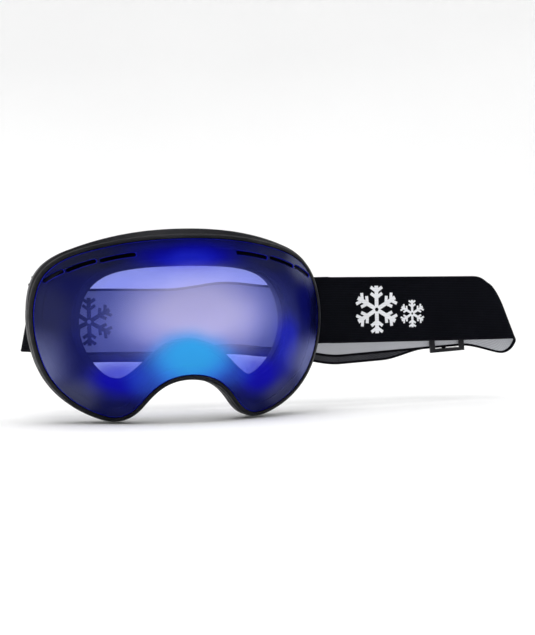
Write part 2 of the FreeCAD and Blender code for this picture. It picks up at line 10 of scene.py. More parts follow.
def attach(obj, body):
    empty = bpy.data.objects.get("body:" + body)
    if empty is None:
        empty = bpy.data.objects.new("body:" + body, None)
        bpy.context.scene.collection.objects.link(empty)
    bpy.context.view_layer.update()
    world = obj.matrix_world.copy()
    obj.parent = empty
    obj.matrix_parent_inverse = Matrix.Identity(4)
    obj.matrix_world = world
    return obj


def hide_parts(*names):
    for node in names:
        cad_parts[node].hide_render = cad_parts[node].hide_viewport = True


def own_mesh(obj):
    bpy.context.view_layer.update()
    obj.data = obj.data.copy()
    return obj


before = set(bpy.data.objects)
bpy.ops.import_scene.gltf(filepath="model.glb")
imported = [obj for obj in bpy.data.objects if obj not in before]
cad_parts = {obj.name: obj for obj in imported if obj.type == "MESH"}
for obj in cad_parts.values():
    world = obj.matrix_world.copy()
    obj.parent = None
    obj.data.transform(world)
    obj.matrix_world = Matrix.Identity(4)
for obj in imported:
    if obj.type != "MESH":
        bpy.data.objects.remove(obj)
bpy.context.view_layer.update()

# ---- sizes, in millimetres, as in the part

MM = 0.001
APEX_DEPTH, LENS_RADIUS, LENS_WALL = 44.0, 108.0, 1.6
LENS_CENTRE = LENS_RADIUS - APEX_DEPTH
RIM_WIDTH, EDGE_GAP = 2.4, 0.3
LENS_INSET = RIM_WIDTH + EDGE_GAP
STRAP_WIDTH, STRAP_WALL, STRAP_LEVEL = 42.0, 1.6, 4.5
HALF_WIDTH, HALF_WALL = STRAP_WIDTH / 2, STRAP_WALL / 2
BAR_RADIUS, BAR_REACH, BAR_DEPTH = 2.0, 82.0, 30.0
ARM_WALL, ARM_GAP = 3.0, 1.2
BACK_DEPTH, SLIDER_RISE = 64.0, math.radians(3.2)
FOLD_REACH, SLIDER_REACH, SEWN_LENGTH, SLIDER_PIN = 230.0, 192.0, 14.0, 1.5
RETURN_START, SLIDER_TRAVEL = 118.0, 50.0
FOLD_START = SLIDER_REACH - SEWN_LENGTH
BACK_LEVELS = [(-82.0, 4.5), (-45.0, 0.5), (5.0, -0.5), (42.0, 3.0), (76.0, 0.0), (118.0, -6.3)]
STRAIGHT_END, FOLD_LEVEL = 204.0, -8.5
LAYER_DROP, DROP_RUN, SAG_START, SAG_RUN = 5.0, 30.0, -75.0, 30.0
CORNER_DROP, CORNER_START, CORNER_POWER = 8.0, 205.0, 2.5       # the fold's upper edge rounds off
LOOP_BULGE, LOOP_LEAN = 1.6, 0.20                               # the slack loop round the right bar
LOOP_START, LOOP_RUN, LOOP_CLEAR, LOOP_DEPTH = -62.0, 16.0, 5.0, 12.0
LEAN, LEAN_START, LEAN_RUN = 0.38, 26.0, 20.0
LEVEL_REACH, LEVEL_DEPTH = 20.0, 5.0                            # the sewn end at the left bar stays level
FRONT_FALL, FRONT_LEAD, FRONT_SWEEP = 0.012, 3.0, 0.15
WAVE, WAVE_LONG, WAVE_SHORT, WAVE_CALM, WAVE_TWIST = 0.22, 11.0, 4.7, 12.0, 60.0
SWELL_ALL, SWELL_TOP, SWELL_CENTRE = 0.4, 1.3, 1.8
SWELL_START, SWELL_RUN, SWELL_REACH = 10.0, 25.0, 62.0

RIM_HALF = [(0, 51.5), (30, 50.0), (55, 45.6), (72, 39.5), (82, 31.0), (87.6, 18.0), (89.2, 3.0),
            (87.0, -14.0), (80.5, -31.0), (68.5, -45.0), (53.0, -54.0), (40.0, -56.5),
            (31.0, -52.3), (24.0, -44.3), (15.0, -36.2), (0, -32.4)]
PORT_HALF = [(0, 33.3), (20, 32.8), (36, 31.0), (48, 27.0), (56, 20.0), (60.5, 10.0), (61.8, -1.0),
             (59, -13.0), (54, -22.0), (47, -29.0), (38.5, -31.8), (31, -28.0), (22, -19.5),
             (12, -12.0), (0, -9.0)]
SLOT_ENDS = {"inner": ((30.5, 40.1), (48.5, 37.1)),
             "middle": ((52.5, 36.9), (67.0, 32.1)),
             "outer": ((70.2, 31.5), (79.5, 26.4))}
SLOT_HEIGHT, SLOT_BOW, MESH_HEIGHT = 2.5, 0.35, 3.0
LOOP_SAMPLES = 320


# ---- camera, light and floor

AZIMUTH, ELEVATION, ROLL = -12.74, 1.15, 1.36      # degrees
DISTANCE, FOCAL = 0.881, 82.5
TARGET = Vector((0.040, 0.0, 0.0))
SHIFT = (0.0373, 0.0044)
FLOOR_LEVEL = -0.0580


def direction(azimuth, elevation):
    azimuth, elevation = math.radians(azimuth), math.radians(elevation)
    return Vector((math.sin(azimuth) * math.cos(elevation), -math.cos(azimuth) * math.cos(elevation),
                   math.sin(elevation)))


def link(obj):
    bpy.context.scene.collection.objects.link(obj)
    return obj


def make_camera():
    data = bpy.data.cameras.new("camera")
    camera = link(bpy.data.objects.new("camera", data))
    back = direction(AZIMUTH, ELEVATION)
    facing = (-back).to_track_quat("-Z", "Y").to_matrix().to_4x4()
    roll = Matrix.Rotation(math.radians(-ROLL), 4, "Z")
    camera.matrix_world = Matrix.Translation(TARGET + back * DISTANCE) @ facing @ roll
    data.lens = FOCAL
    data.shift_x, data.shift_y = SHIFT
    data.clip_end = 50
    bpy.context.scene.camera = camera


def area_light(name, azimuth, elevation, distance, size, power, mirrored):
    """A soft disk of light; mirrored says whether it shows in reflections."""
    data = bpy.data.lights.new(name, "AREA")
    data.shape = "DISK"
    data.size, data.energy = size, power
    lamp = link(bpy.data.objects.new(name, data))
    lamp.visible_glossy = mirrored
    towards = direction(azimuth, elevation)
    lamp.matrix_world = (Matrix.Translation(TARGET + towards * distance)
                         @ towards.to_track_quat("Z", "Y").to_matrix().to_4x4())


make_camera()
bpy.context.scene.view_settings.view_transform = "Standard"


# ---- material nodes

def new_material(name):
    material = bpy.data.materials.new(name)
    material.use_nodes = True
    tree = material.node_tree
    tree.nodes.clear()
    return material, tree


def node(tree, kind, settings=None, **inputs):
    """A shader node. An input's value is a number, a colour or another node's output, under the input's
    name, or under i and its number."""
    made = tree.nodes.new("ShaderNode" + kind)
    for key, value in (settings or {}).items():
        setattr(made, key, value)
    for key, value in inputs.items():
        numbered = key[0] == "i" and key[1:].isdigit()
        socket = made.inputs[int(key[1:]) if numbered else key.replace("_", " ")]
        if isinstance(value, bpy.types.NodeSocket):
            tree.links.new(value, socket)
        elif isinstance(value, tuple) and len(value) == 3 and len(socket.default_value) == 4:
            socket.default_value = value + (1.0,)
        else:
            socket.default_value = value
    return made


def surface(tree, shader):
    tree.links.new(shader, node(tree, "OutputMaterial").inputs["Surface"])


def maths(tree, operation, *terms):
    inputs = {"i%d" % i: term for i, term in enumerate(terms)}
    return node(tree, "Math", {"operation": operation}, **inputs).outputs[0]


def add(tree, first, second):
    return maths(tree, "ADD", first, second)


def times(tree, first, second):
    return maths(tree, "MULTIPLY", first, second)


def mixed(tree, factor, first, second):
    """A mix of two colours."""
    made = node(tree, "Mix", {"data_type": "RGBA"}, i0=factor, i6=first, i7=second)
    return made.outputs[2]


def remap(tree, value, low, high, to_low=0.0, to_high=1.0, smooth=True):
    kind = {"interpolation_type": "SMOOTHSTEP" if smooth else "LINEAR"}
    made = node(tree, "MapRange", kind, Value=value, From_Min=low, From_Max=high, To_Min=to_low,
                To_Max=to_high)
    return made.outputs["Result"]


def place(tree):
    """Position on the piece, in metres."""
    return node(tree, "TexCoord").outputs["Object"]


def noise(tree, where, scale, detail=3.0, roughness=0.5):
    made = node(tree, "TexNoise", Vector=where, Scale=scale, Detail=detail, Roughness=roughness)
    return made.outputs["Fac"]


def bump(tree, height, strength, distance):
    return node(tree, "Bump", Height=height, Strength=strength, Distance=distance).outputs["Normal"]


def principled(tree, **inputs):
    return node(tree, "BsdfPrincipled", **inputs).outputs["BSDF"]


def glazed(tree, cover, coat, tint):
    """A sheet that tints what shows through it, under a coat that covers a share of it."""
    through = node(tree, "BsdfTransparent", Color=tint).outputs[0]
    surface(tree, node(tree, "MixShader", Fac=cover, i1=through, i2=coat).outputs[0])


def moulded(name, dark, light, rough, grain_scale, grain, specular):
    """Moulded plastic or rubber: spark-eroded grain, faint mottling and worn, paler patches."""
    material, tree = new_material(name)
    where = place(tree)
    broad = noise(tree, where, 38.0)
    colour = mixed(tree, remap(tree, broad, 0.35, 0.75), dark, light)
    roughness = remap(tree, noise(tree, where, 120.0, 4.0), 0.3, 0.7, rough - 0.06, rough + 0.08)
    fine = noise(tree, where, grain_scale, 2.0, 0.6)
    normal = bump(tree, fine, grain, 0.0002)
    surface(tree, principled(tree, Base_Color=colour, Roughness=roughness, Normal=normal,
                             Specular_IOR_Level=specular))
    return material


def foam(name, deep, pale, pore_scale, depth, sheen=0.3):
    """Open-cell foam: pores of two sizes under a soft, slightly uneven skin."""
    material, tree = new_material(name)
    where = place(tree)
    large = node(tree, "TexVoronoi", Vector=where, Scale=pore_scale).outputs["Distance"]
    small = node(tree, "TexVoronoi", Vector=where, Scale=pore_scale * 2.6).outputs["Distance"]
    pores = add(tree, large, times(tree, small, 0.5))
    patches = noise(tree, where, 55.0, 5.0, 0.6)
    shade = times(tree, remap(tree, pores, 0.15, 0.8), remap(tree, patches, 0.2, 0.8, 0.75, 1.0))
    colour = mixed(tree, shade, deep, pale)
    normal = bump(tree, pores, 0.8, depth)
    surface(tree, principled(tree, Base_Color=colour, Roughness=0.95, Normal=normal,
                             Sheen_Weight=sheen, Specular_IOR_Level=0.2))
    return material


def fleece_material():
    material, tree = new_material("fleece")
    where = place(tree)
    nap = noise(tree, where, 900.0, 6.0, 0.75)
    tufts = noise(tree, where, 260.0, 3.0)
    height = add(tree, nap, times(tree, tufts, 1.4))
    colour = mixed(tree, remap(tree, height, 0.7, 1.7), (0.010, 0.010, 0.013), (0.045, 0.045, 0.052))
    surface(tree, principled(tree, Base_Color=colour, Roughness=1.0, Sheen_Weight=0.9, Sheen_Roughness=0.5,
                             Specular_IOR_Level=0.1, Normal=bump(tree, height, 0.9, 0.0006)))
    return material


def webbing_material(name, dark, light, rib, twill, contrast, depth, sheen=0.05, specular=0.12):
    """Elastic webbing: UV runs along (U) and across (V) the strap, in millimetres."""
    material, tree = new_material(name)
    uv = node(tree, "SeparateXYZ", Vector=node(tree, "TexCoord").outputs["UV"])
    along, across = uv.outputs[0], uv.outputs[1]
    slant = add(tree, times(tree, along, twill), across)
    cords = maths(tree, "SINE", times(tree, slant, 2 * math.pi / rib))
    picks = maths(tree, "SINE", times(tree, along, 2 * math.pi / (rib * 0.8)))
    crossed = times(tree, picks, times(tree, cords, 0.45))
    weave = add(tree, cords, crossed)
    fibres = noise(tree, place(tree), 1400.0, 3.0, 0.7)
    patches = noise(tree, place(tree), 60.0, 4.0)
    wear = add(tree, times(tree, fibres, 0.45), times(tree, patches, 0.35))
    level = add(tree, times(tree, weave, 0.30 * contrast), wear)
    colour = mixed(tree, remap(tree, level, 0.10, 0.75, smooth=False), dark, light)
    height = add(tree, times(tree, weave, 0.5), fibres)
    surface(tree, principled(tree, Base_Color=colour, Roughness=0.86, Sheen_Weight=sheen, Sheen_Roughness=0.4,
                             Specular_IOR_Level=specular, Normal=bump(tree, height, 0.55, depth)))
    return material


def thread_material():
    material, tree = new_material("thread")
    where = place(tree)
    plies = node(tree, "TexWave", {"bands_direction": "DIAGONAL"}, Vector=where, Scale=900.0, Distortion=0.6)
    colour = mixed(tree, plies.outputs["Fac"], (0.012, 0.012, 0.016), (0.060, 0.060, 0.068))
    surface(tree, principled(tree, Base_Color=colour, Roughness=0.7, Sheen_Weight=0.2,
                             Normal=bump(tree, plies.outputs["Fac"], 0.6, 0.0001)))
    return material


def clear_material():
    """The inner lens: clear, with a faint fog and fine hairlines."""
    material, tree = new_material("clear_lens")
    where = place(tree)
    haze = remap(tree, noise(tree, where, 30.0, 4.0), 0.3, 0.8, 0.03, 0.07)
    lines = noise(tree, where, 700.0, 2.0)
    gloss = node(tree, "BsdfGlossy", Color=(0.75, 0.80, 0.90), Roughness=0.08,
                 Normal=bump(tree, lines, 0.05, 0.00005)).outputs[0]
    glazed(tree, haze, gloss, (0.97, 0.975, 0.985))
    return material


# The mirror coat, with painted reflections and highlights laid into its colour: middle and reach in X and Z
# (mm), then its colour and how opaque it is there.
COAT_BASE = ((0.030, 0.036, 0.290), 0.22)
COAT_AND_PAINTED_REFLECTIONS = [
    ((3.0, 6.0), (80.0, 38.0), (0.240, 0.290, 0.900), 0.32),       # a wide, faint veil of painted reflection
    ((0.0, 39.0), (46.0, 14.0), (0.008, 0.006, 0.850), 0.46),      # royal blue over the brow
    ((0.0, 38.0), (24.0, 8.0), (0.020, 0.030, 1.000), 0.60),
    ((-56.0, 37.0), (32.0, 13.0), (0.040, 0.044, 0.110), 0.36),    # grey bands beside it
    ((56.0, 37.0), (30.0, 13.0), (0.040, 0.046, 0.140), 0.36),
    ((-78.0, 6.0), (16.0, 30.0), (0.090, 0.100, 0.300), 0.22),     # grey-blue sides
    ((78.0, 34.0), (18.0, 18.0), (0.320, 0.350, 0.540), 0.30),
    ((-92.0, -26.0), (32.0, 30.0), (0.270, 0.300, 0.620), 0.40),   # pale rims, low at the sides
    ((60.0, -14.0), (14.0, 24.0), (0.030, 0.040, 0.750), 0.42),
    ((84.0, -26.0), (30.0, 24.0), (0.270, 0.300, 0.640), 0.48),
    ((75.0, 8.0), (10.0, 22.0), (0.008, 0.010, 0.240), 0.30),      # the strap, dimly mirrored
    ((-66.0, -42.0), (22.0, 16.0), (0.150, 0.165, 0.330), 0.32),
    ((60.0, -44.0), (20.0, 16.0), (0.130, 0.140, 0.330), 0.32),
    ((-40.0, -31.0), (27.0, 17.0), (0.008, 0.007, 0.440), 0.78),   # royal blue beside the nose
    ((41.0, -31.0), (27.0, 17.0), (0.010, 0.008, 0.440), 0.78),
    ((-38.0, -52.0), (17.0, 9.0), (0.040, 0.048, 0.280), 0.30),
    ((38.0, -52.0), (17.0, 9.0), (0.042, 0.050, 0.280), 0.30),
    ((4.0, 6.0), (60.0, 33.0), (0.660, 0.620, 1.000), 0.56),       # painted highlight: a soft lavender glow in the middle
    ((-1.0, -27.0), (43.0, 25.0), (0.045, 0.160, 0.900), 0.68),    # sky blue over the nose
    ((-1.0, -20.0), (31.0, 21.0), (0.040, 0.400, 0.900), 0.76),
]


def spread(tree, flat, middle, reach):
    """1 at the middle of an ellipse in the XZ plane, falling softly to 0 at its edge."""
    scale = (1.0 / (reach[0] * MM), 1.0, 1.0 / (reach[1] * MM))
    shift = (-middle[0] * MM * scale[0], 0.0, -middle[1] * MM * scale[2])
    moved = node(tree, "Mapping", Vector=flat, Location=shift, Scale=scale).outputs[0]
    distance = node(tree, "VectorMath", {"operation": "LENGTH"}, i0=moved).outputs["Value"]
    return remap(tree, distance, 0.25, 1.0, 1.0, 0.0)


def mirror_material():
    material, tree = new_material("mirror_lens")
    where = place(tree)
    flat = node(tree, "VectorMath", {"operation": "MULTIPLY"}, i0=where, i1=(1.0, 0.0, 1.0)).outputs[0]
    ripple = node(tree, "TexNoise", Vector=where, Scale=26.0, Detail=2.0).outputs["Color"]
    wander = node(tree, "VectorMath", {"operation": "MULTIPLY_ADD"}, i0=ripple, i1=(0.010, 0.0, 0.010),
                  i2=(-0.005, 0.0, -0.005)).outputs[0]
    flat = node(tree, "VectorMath", {"operation": "ADD"}, i0=flat, i1=wander).outputs[0]
    colour, opacity = COAT_BASE
    # each area paints a reflection or highlight into the coat's colour
    for middle, reach, tint, cover in COAT_AND_PAINTED_REFLECTIONS:
        share = spread(tree, flat, middle, reach)
        colour = mixed(tree, share, colour, tint)
        opacity = node(tree, "Mix", i0=share, i2=opacity, i3=cover).outputs[0]
    dust = remap(tree, noise(tree, where, 420.0, 5.0, 0.7), 0.62, 0.80, 0.0, 0.03)
    opacity = add(tree, opacity, dust)
    haze = remap(tree, noise(tree, where, 60.0, 3.0), 0.3, 0.7, 0.16, 0.24)
    coat = node(tree, "BsdfGlossy", Color=colour, Roughness=haze).outputs[0]
    glazed(tree, opacity, coat, (0.34, 0.39, 1.0))
    return material


def lens_edge_material():
    """The cut edge of the tinted sheet, where light gathers."""
    material, tree = new_material("lens_edge")
    grain = noise(tree, place(tree), 500.0, 3.0)
    colour = mixed(tree, grain, (0.010, 0.014, 0.400), (0.024, 0.032, 0.750))
    surface(tree, principled(tree, Base_Color=colour, Roughness=0.22, Specular_IOR_Level=0.5,
                             Normal=bump(tree, grain, 0.1, 0.0001)))
    return material


def lens_back_material():
    material, tree = new_material("lens_back")
    faint = remap(tree, noise(tree, place(tree), 40.0, 3.0), 0.3, 0.7, 0.02, 0.05)
    gloss = node(tree, "BsdfGlossy", Color=(0.35, 0.38, 0.70), Roughness=0.12).outputs[0]
    glazed(tree, faint, gloss, (1.0, 1.0, 1.0))
    return material


RUBBER = moulded("frame_rubber", (0.004, 0.004, 0.006), (0.011, 0.011, 0.014),
                 rough=0.45, grain_scale=2600.0, grain=0.20, specular=0.09)
PLASTIC = moulded("black_plastic", (0.004, 0.004, 0.006), (0.012, 0.012, 0.015),
                  rough=0.38, grain_scale=1500.0, grain=0.12, specular=0.20)
PLATE = moulded("plate_plastic", (0.002, 0.002, 0.003), (0.005, 0.005, 0.007),
                rough=0.50, grain_scale=1500.0, grain=0.12, specular=0.06)
NET = moulded("vent_mesh", (0.001, 0.001, 0.001), (0.003, 0.003, 0.004),
              rough=0.6, grain_scale=3000.0, grain=0.4, specular=0.03)
FOAM_FIRM = foam("face_foam_firm", (0.010, 0.010, 0.012), (0.090, 0.091, 0.100), 620.0, 0.0007)
FOAM_SOFT = foam("face_foam_soft", (0.016, 0.016, 0.020), (0.150, 0.151, 0.163), 780.0, 0.0006)
FOAM_SEAL = foam("seal_foam", (0.003, 0.003, 0.004), (0.010, 0.010, 0.013), 1100.0, 0.0003, sheen=0.0)
FOAM_VENT = foam("vent_foam", (0.004, 0.004, 0.005), (0.040, 0.040, 0.046), 420.0, 0.0010, sheen=0.05)
FLEECE = fleece_material()
WEBBING_OUTER = webbing_material("webbing_outer", (0.0012, 0.0013, 0.0022), (0.0050, 0.0056, 0.0085),
                                 1.1, 0.0, 0.8, 0.00012, sheen=0.0, specular=0.03)
WEBBING_INNER = webbing_material("webbing_inner", (0.400, 0.410, 0.440), (0.600, 0.610, 0.640),
                                 1.5, 0.7, 0.6, 0.00010, sheen=0.10)
WEBBING_EDGE = webbing_material("webbing_edge", (0.001, 0.001, 0.002), (0.006, 0.006, 0.009),
                                0.9, 1.0, 1.0, 0.0002, sheen=0.0, specular=0.04)
# A darker copy of the pale inner webbing: painted shade for the inner face of the turned layers behind the
# back run.
WEBBING_PAINTED_SHADE = webbing_material("webbing_painted_shade", (0.030, 0.031, 0.036), (0.085, 0.087, 0.098),
                                  1.5, 0.7, 0.8, 0.00012)
MARK_PALE = webbing_material("mark_pale", (0.62, 0.63, 0.66), (0.84, 0.85, 0.88), 1.1, 0.0, 0.6, 0.0001)
MARK_DARK = webbing_material("mark_dark", (0.002, 0.002, 0.006), (0.010, 0.011, 0.020), 1.5, 0.7, 0.8, 0.0001)
THREAD = thread_material()
MIRROR = mirror_material()
LENS_EDGE = lens_edge_material()
LENS_BACK = lens_back_material()
CLEAR = clear_material()


# ---- outlines

def closed_curve(half, count=LOOP_SAMPLES):
    """Points and inward normals of the closed cubic through a half outline and its mirror image."""
    points = np.array(half + [(-x, z) for x, z in reversed(half[1:-1])], float)
    ends = np.roll(points, -1, axis=0)
    spans = np.linalg.norm(ends - points, axis=1)
    knots = np.concatenate([[0.0], np.cumsum(spans)])
    total = len(points)
    system = np.zeros((total, total))
    known = np.zeros((total, 2))
    for i in range(total):
        before, after = spans[i - 1], spans[i]
        system[i, i - 1] += before
        system[i, i] += 2 * (before + after)
        system[i, (i + 1) % total] += after
        known[i] = 6 * ((ends[i] - points[i]) / after - (points[i] - points[i - 1]) / before)
    curve = np.linalg.solve(system, known)
    at = np.linspace(0.0, knots[-1], count, endpoint=False)
    piece = np.clip(np.searchsorted(knots, at, side="right") - 1, 0, total - 1)
    after = (piece + 1) % total
    width = spans[piece][:, None]
    right = (at - knots[piece])[:, None]
    left = width - right
    near, far = curve[piece], curve[after]
    level_near = points[piece] / width - near * width / 6
    level_far = points[after] / width - far * width / 6
    spots = (near * left ** 3 / (6 * width) + far * right ** 3 / (6 * width)
             + level_near * left + level_far * right)
    heading = -near * left ** 2 / (2 * width) + far * right ** 2 / (2 * width) - level_near + level_far
    heading /= np.linalg.norm(heading, axis=1)[:, None]
    return spots, np.stack([heading[:, 1], -heading[:, 0]], axis=1)


RIM_SPOTS, RIM_INWARD = closed_curve(RIM_HALF)
PORT_SPOTS, PORT_INWARD = closed_curve(PORT_HALF)


def brow_swell(spots):
    """How far the frame stands proud of the rim at each point of the outline."""
    rise = np.clip((spots[:, 1] - SWELL_START) / SWELL_RUN, 0.0, 1.0)
    centre = np.clip(1 - (spots[:, 0] / SWELL_REACH) ** 2, 0.0, 1.0)
    return SWELL_ALL + SWELL_TOP * rise + SWELL_CENTRE * rise * centre


RIM_SWELL = brow_swell(RIM_SPOTS)


def rim_loop(inset, swell=0.0):
    return RIM_SPOTS + RIM_INWARD * (inset - swell * RIM_SWELL)[:, None]


def port_loop(outset):
    return PORT_SPOTS - PORT_INWARD * outset


def on_sphere(loop, shift=0.0, radius=LENS_RADIUS):
    """The flat outline laid on the front of a sphere: an array of X, Y, Z."""
    loop = np.asarray(loop, float)
    depth = LENS_CENTRE + shift - np.sqrt(radius ** 2 - (loop ** 2).sum(axis=1))
    return np.column_stack([loop[:, 0], depth, loop[:, 1]])


def by_angle(loop, count=LOOP_SAMPLES, middle=(0.0, 10.0)):
    """The loop sampled again at even angles, so that two different loops can be joined point to point."""
    offset = loop - np.array(middle)
    angle = np.arctan2(offset[:, 1], offset[:, 0])
    order = np.argsort(angle)
    angle, reach = angle[order], np.linalg.norm(offset, axis=1)[order]
    wanted = np.linspace(-math.pi, math.pi, count, endpoint=False)
    reach = np.interp(wanted, angle, reach, period=2 * math.pi)
    return np.column_stack([np.cos(wanted) * reach + middle[0], np.sin(wanted) * reach + middle[1]])


# ---- mesh helpers

def build(name, points, faces, materials, body, stands_for=(), face_materials=None, sharp=40.0,
          uv=None, normals=None, keep_winding=False):
    """A mesh piece from points in millimetres, that rides on a body and may stand for CAD nodes."""
    mesh = bpy.data.meshes.new(name)
    mesh.from_pydata([Vector(p) * MM for p in points], [], [tuple(int(i) for i in f) for f in faces])
    for material in materials:
        mesh.materials.append(material)
    if face_materials is not None:
        mesh.polygons.foreach_set("material_index", np.asarray(face_materials, dtype=np.int32))
    if uv is not None:
        layer = mesh.uv_layers.new(name="strap")
        for corner in mesh.loops:
            layer.data[corner.index].uv = uv[corner.vertex_index]
    work = bmesh.new()
    work.from_mesh(mesh)
    if not keep_winding:
        bmesh.ops.recalc_face_normals(work, faces=work.faces)
    for face in work.faces:
        face.smooth = True
    for edge in work.edges:
        edge.smooth = len(edge.link_faces) != 2 or edge.calc_face_angle(0.0) < math.radians(sharp)
    work.to_mesh(mesh)
    work.free()
    if normals is not None:
        mesh.normals_split_custom_set_from_vertices([tuple(n) for n in normals])
    obj = link(bpy.data.objects.new(name, mesh))
    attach(obj, body)
    if stands_for:
        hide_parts(*stands_for)
    return obj


def ring_faces(rows, count):
    """Quads round a closed profile of closed rings, each with the same number of points."""
    faces = []
    for j in range(rows):
        for i in range(count):
            a, b = j * count, ((j + 1) % rows) * count
            nxt = (i + 1) % count
            faces.append((a + i, a + nxt, b + nxt, b + i))
    return faces


def tube_faces(rows, count, capped=True):
    """Quads along an open stack of closed rings, with or without its two ends."""
    faces = ring_faces(rows, count)[:(rows - 1) * count]
    if capped:
        faces += [tuple(range(count)), tuple(range((rows - 1) * count, rows * count))]
    return faces


def sheet_faces(rows, columns):
    """Quads over rows of points."""
    return [(j * columns + i, j * columns + i + 1, (j + 1) * columns + i + 1, (j + 1) * columns + i)
            for j in range(rows - 1) for i in range(columns - 1)]


def full_turn(count):
    return [2 * math.pi * i / count for i in range(count)]


def bevel(obj, width):
    tool = obj.modifiers.new("soft_edges", "BEVEL")
    tool.width, tool.segments, tool.limit_method = width * MM, 2, "ANGLE"
    tool.angle_limit = math.radians(35)


# ---- frame

# Across the frame's wall: inset, share of the brow's swell, depth behind the lens's front.
FRAME_PROFILE = [
    (2.38, 0, 1.7), (2.38, 0, -0.35), (2.15, 0, -0.75), (1.7, 0, -0.95), (1.1, 0, -0.95), (0.5, 0, -0.75),
    (0.12, 0, -0.25), (0, 0, 0.6), (0, 0, 3.3), (0.05, 0.2, 3.9), (0, 0.65, 4.2), (0, 0.93, 4.6),
    (0, 1, 5.2), (0, 1, 6.4), (0, 1, 11.8), (0, 1, 17.6), (0.1, 1, 18.5), (0.5, 0.8, 19.0),
    (1.2, 0, 19.0), (1.2, 0, 11.8), (1.2, 0, 6.4), (1.2, 0, 4.9), (7.5, 0, 4.9), (7.9, 0, 4.5),
    (7.9, 0, 2.3), (7.6, 0, 2.0), (2.6, 0, 2.0)]
WINDOW_OUTSIDE, WINDOW_INSIDE = 13, 19            # where the profile crosses the vent windows
WINDOW_SPANS = [(5.0, 27.0, 1), (32.0, 60.0, 1), (34.0, 56.0, -1)]     # near X, far X, top or bottom


def in_window(spot):
    return any(near <= abs(spot[0]) <= far and spot[1] * side > 0 for near, far, side in WINDOW_SPANS)


def make_frame():
    rings = [on_sphere(rim_loop(inset, swell), depth) for inset, swell, depth in FRAME_PROFILE]
    count, rows = LOOP_SAMPLES, len(rings)
    opened = [in_window(spot) and in_window(RIM_SPOTS[(i + 1) % count]) for i, spot in enumerate(RIM_SPOTS)]
    faces = []
    for number, face in enumerate(ring_faces(rows, count)):
        row, column = divmod(number, count)
        if not (opened[column] and row in (WINDOW_OUTSIDE, WINDOW_INSIDE)):
            faces.append(face)
    outer_front, outer_back = WINDOW_OUTSIDE * count, (WINDOW_OUTSIDE + 1) * count
    inner_back, inner_front = WINDOW_INSIDE * count, (WINDOW_INSIDE + 1) * count
    for i in range(count):
        nxt = (i + 1) % count
        if opened[i]:
            faces.append((outer_front + i, outer_front + nxt, inner_front + nxt, inner_front + i))
            faces.append((outer_back + i, inner_back + i, inner_back + nxt, outer_back + nxt))
        if opened[i] != opened[i - 1]:
            faces.append((outer_front + i, outer_back + i, inner_back + i, inner_front + i))
    build("goggle_frame", np.concatenate(rings), faces, [RUBBER], "root", ["frame"])
    half_gap = HALF_WIDTH + ARM_GAP
    for side_name, side in (("left", -1), ("right", 1)):
        for label, start in (("upper", STRAP_LEVEL + half_gap), ("lower", STRAP_LEVEL - half_gap - ARM_WALL)):
            make_arm("strap_arm_%s_%s" % (label, side_name), side, start)
        make_bar("strap_bar_" + side_name, side, half_gap + BAR_INSET)


ARM_PLAN = np.array([(78.6, 15.0), (84.4, 14.5), (84.7, 28.0), (84.6, 31.4), (83.4, 32.8), (81.2, 32.9),
                     (79.2, 31.6), (78.6, 28.5)])
ARM_TAPER, ARM_ROUND, BAR_INSET = 0.93, 0.35, 0.8


def make_arm(name, side, start):
    """A rounded lug that grows out of the skirt and ends round the bar."""
    middle = ARM_PLAN.mean(axis=0)
    rings = []
    levels = ((0.0, ARM_TAPER), (ARM_ROUND, 1.0), (ARM_WALL - ARM_ROUND, 1.0), (ARM_WALL, ARM_TAPER))
    for lift, share in levels:
        rings += [(side * x, y, start + lift) for x, y in middle + (ARM_PLAN - middle) * share]
    lug = build(name, rings, tube_faces(4, len(ARM_PLAN)), [RUBBER], "root", sharp=50.0)
    bevel(lug, 0.3)


def make_bar(name, side, reach):
    turns = full_turn(28)
    rings = [(side * BAR_REACH + BAR_RADIUS * math.cos(turn), BAR_DEPTH + BAR_RADIUS * math.sin(turn),
              STRAP_LEVEL + z) for z in (-reach, reach) for turn in turns]
    build(name, rings, tube_faces(2, len(turns)), [RUBBER], "root")


# ---- outer lens

def slot_frame(ends, side):
    """A slot's two ends, its length, and the ways along it and out of it."""
    start, end = (np.array((x * side, z)) for x, z in ends)
    length = np.linalg.norm(end - start)
    along = (end - start) / length
    return start, end, length, along, np.array((-along[1], along[0])) * side


def slot_outline(ends, side, half_height, arc_steps=8):
    """A bowed slot with round ends, as a closed loop of X, Z."""
    start, end, _, along, out = slot_frame(ends, side)
    shares = np.linspace(0.0, 1.0, 13)
    line = [start + (end - start) * t + out * SLOT_BOW * 4 * t * (1 - t) for t in shares]
    turns = np.linspace(0.0, math.pi, arc_steps + 1)[1:-1]
    points = [spot + out * half_height for spot in line]
    points += [end + (out * math.cos(t) + along * math.sin(t)) * half_height for t in turns]
    points += [spot - out * half_height for spot in reversed(line)]
    points += [start - (out * math.cos(t) + along * math.sin(t)) * half_height for t in turns]
    return np.array(points)


def inside(points, loop):
    """Which points lie inside a closed loop."""
    x, z = points[:, 0][:, None], points[:, 1][:, None]
    a, b = loop, np.roll(loop, -1, axis=0)
    crossing = (a[:, 1] > z) != (b[:, 1] > z)
    rise = np.where(b[:, 1] == a[:, 1], 1e-9, b[:, 1] - a[:, 1])
    at = (b[:, 0] - a[:, 0]) * (z - a[:, 1]) / rise + a[:, 0]
    return (crossing & (x < at)).sum(axis=1) % 2 == 1


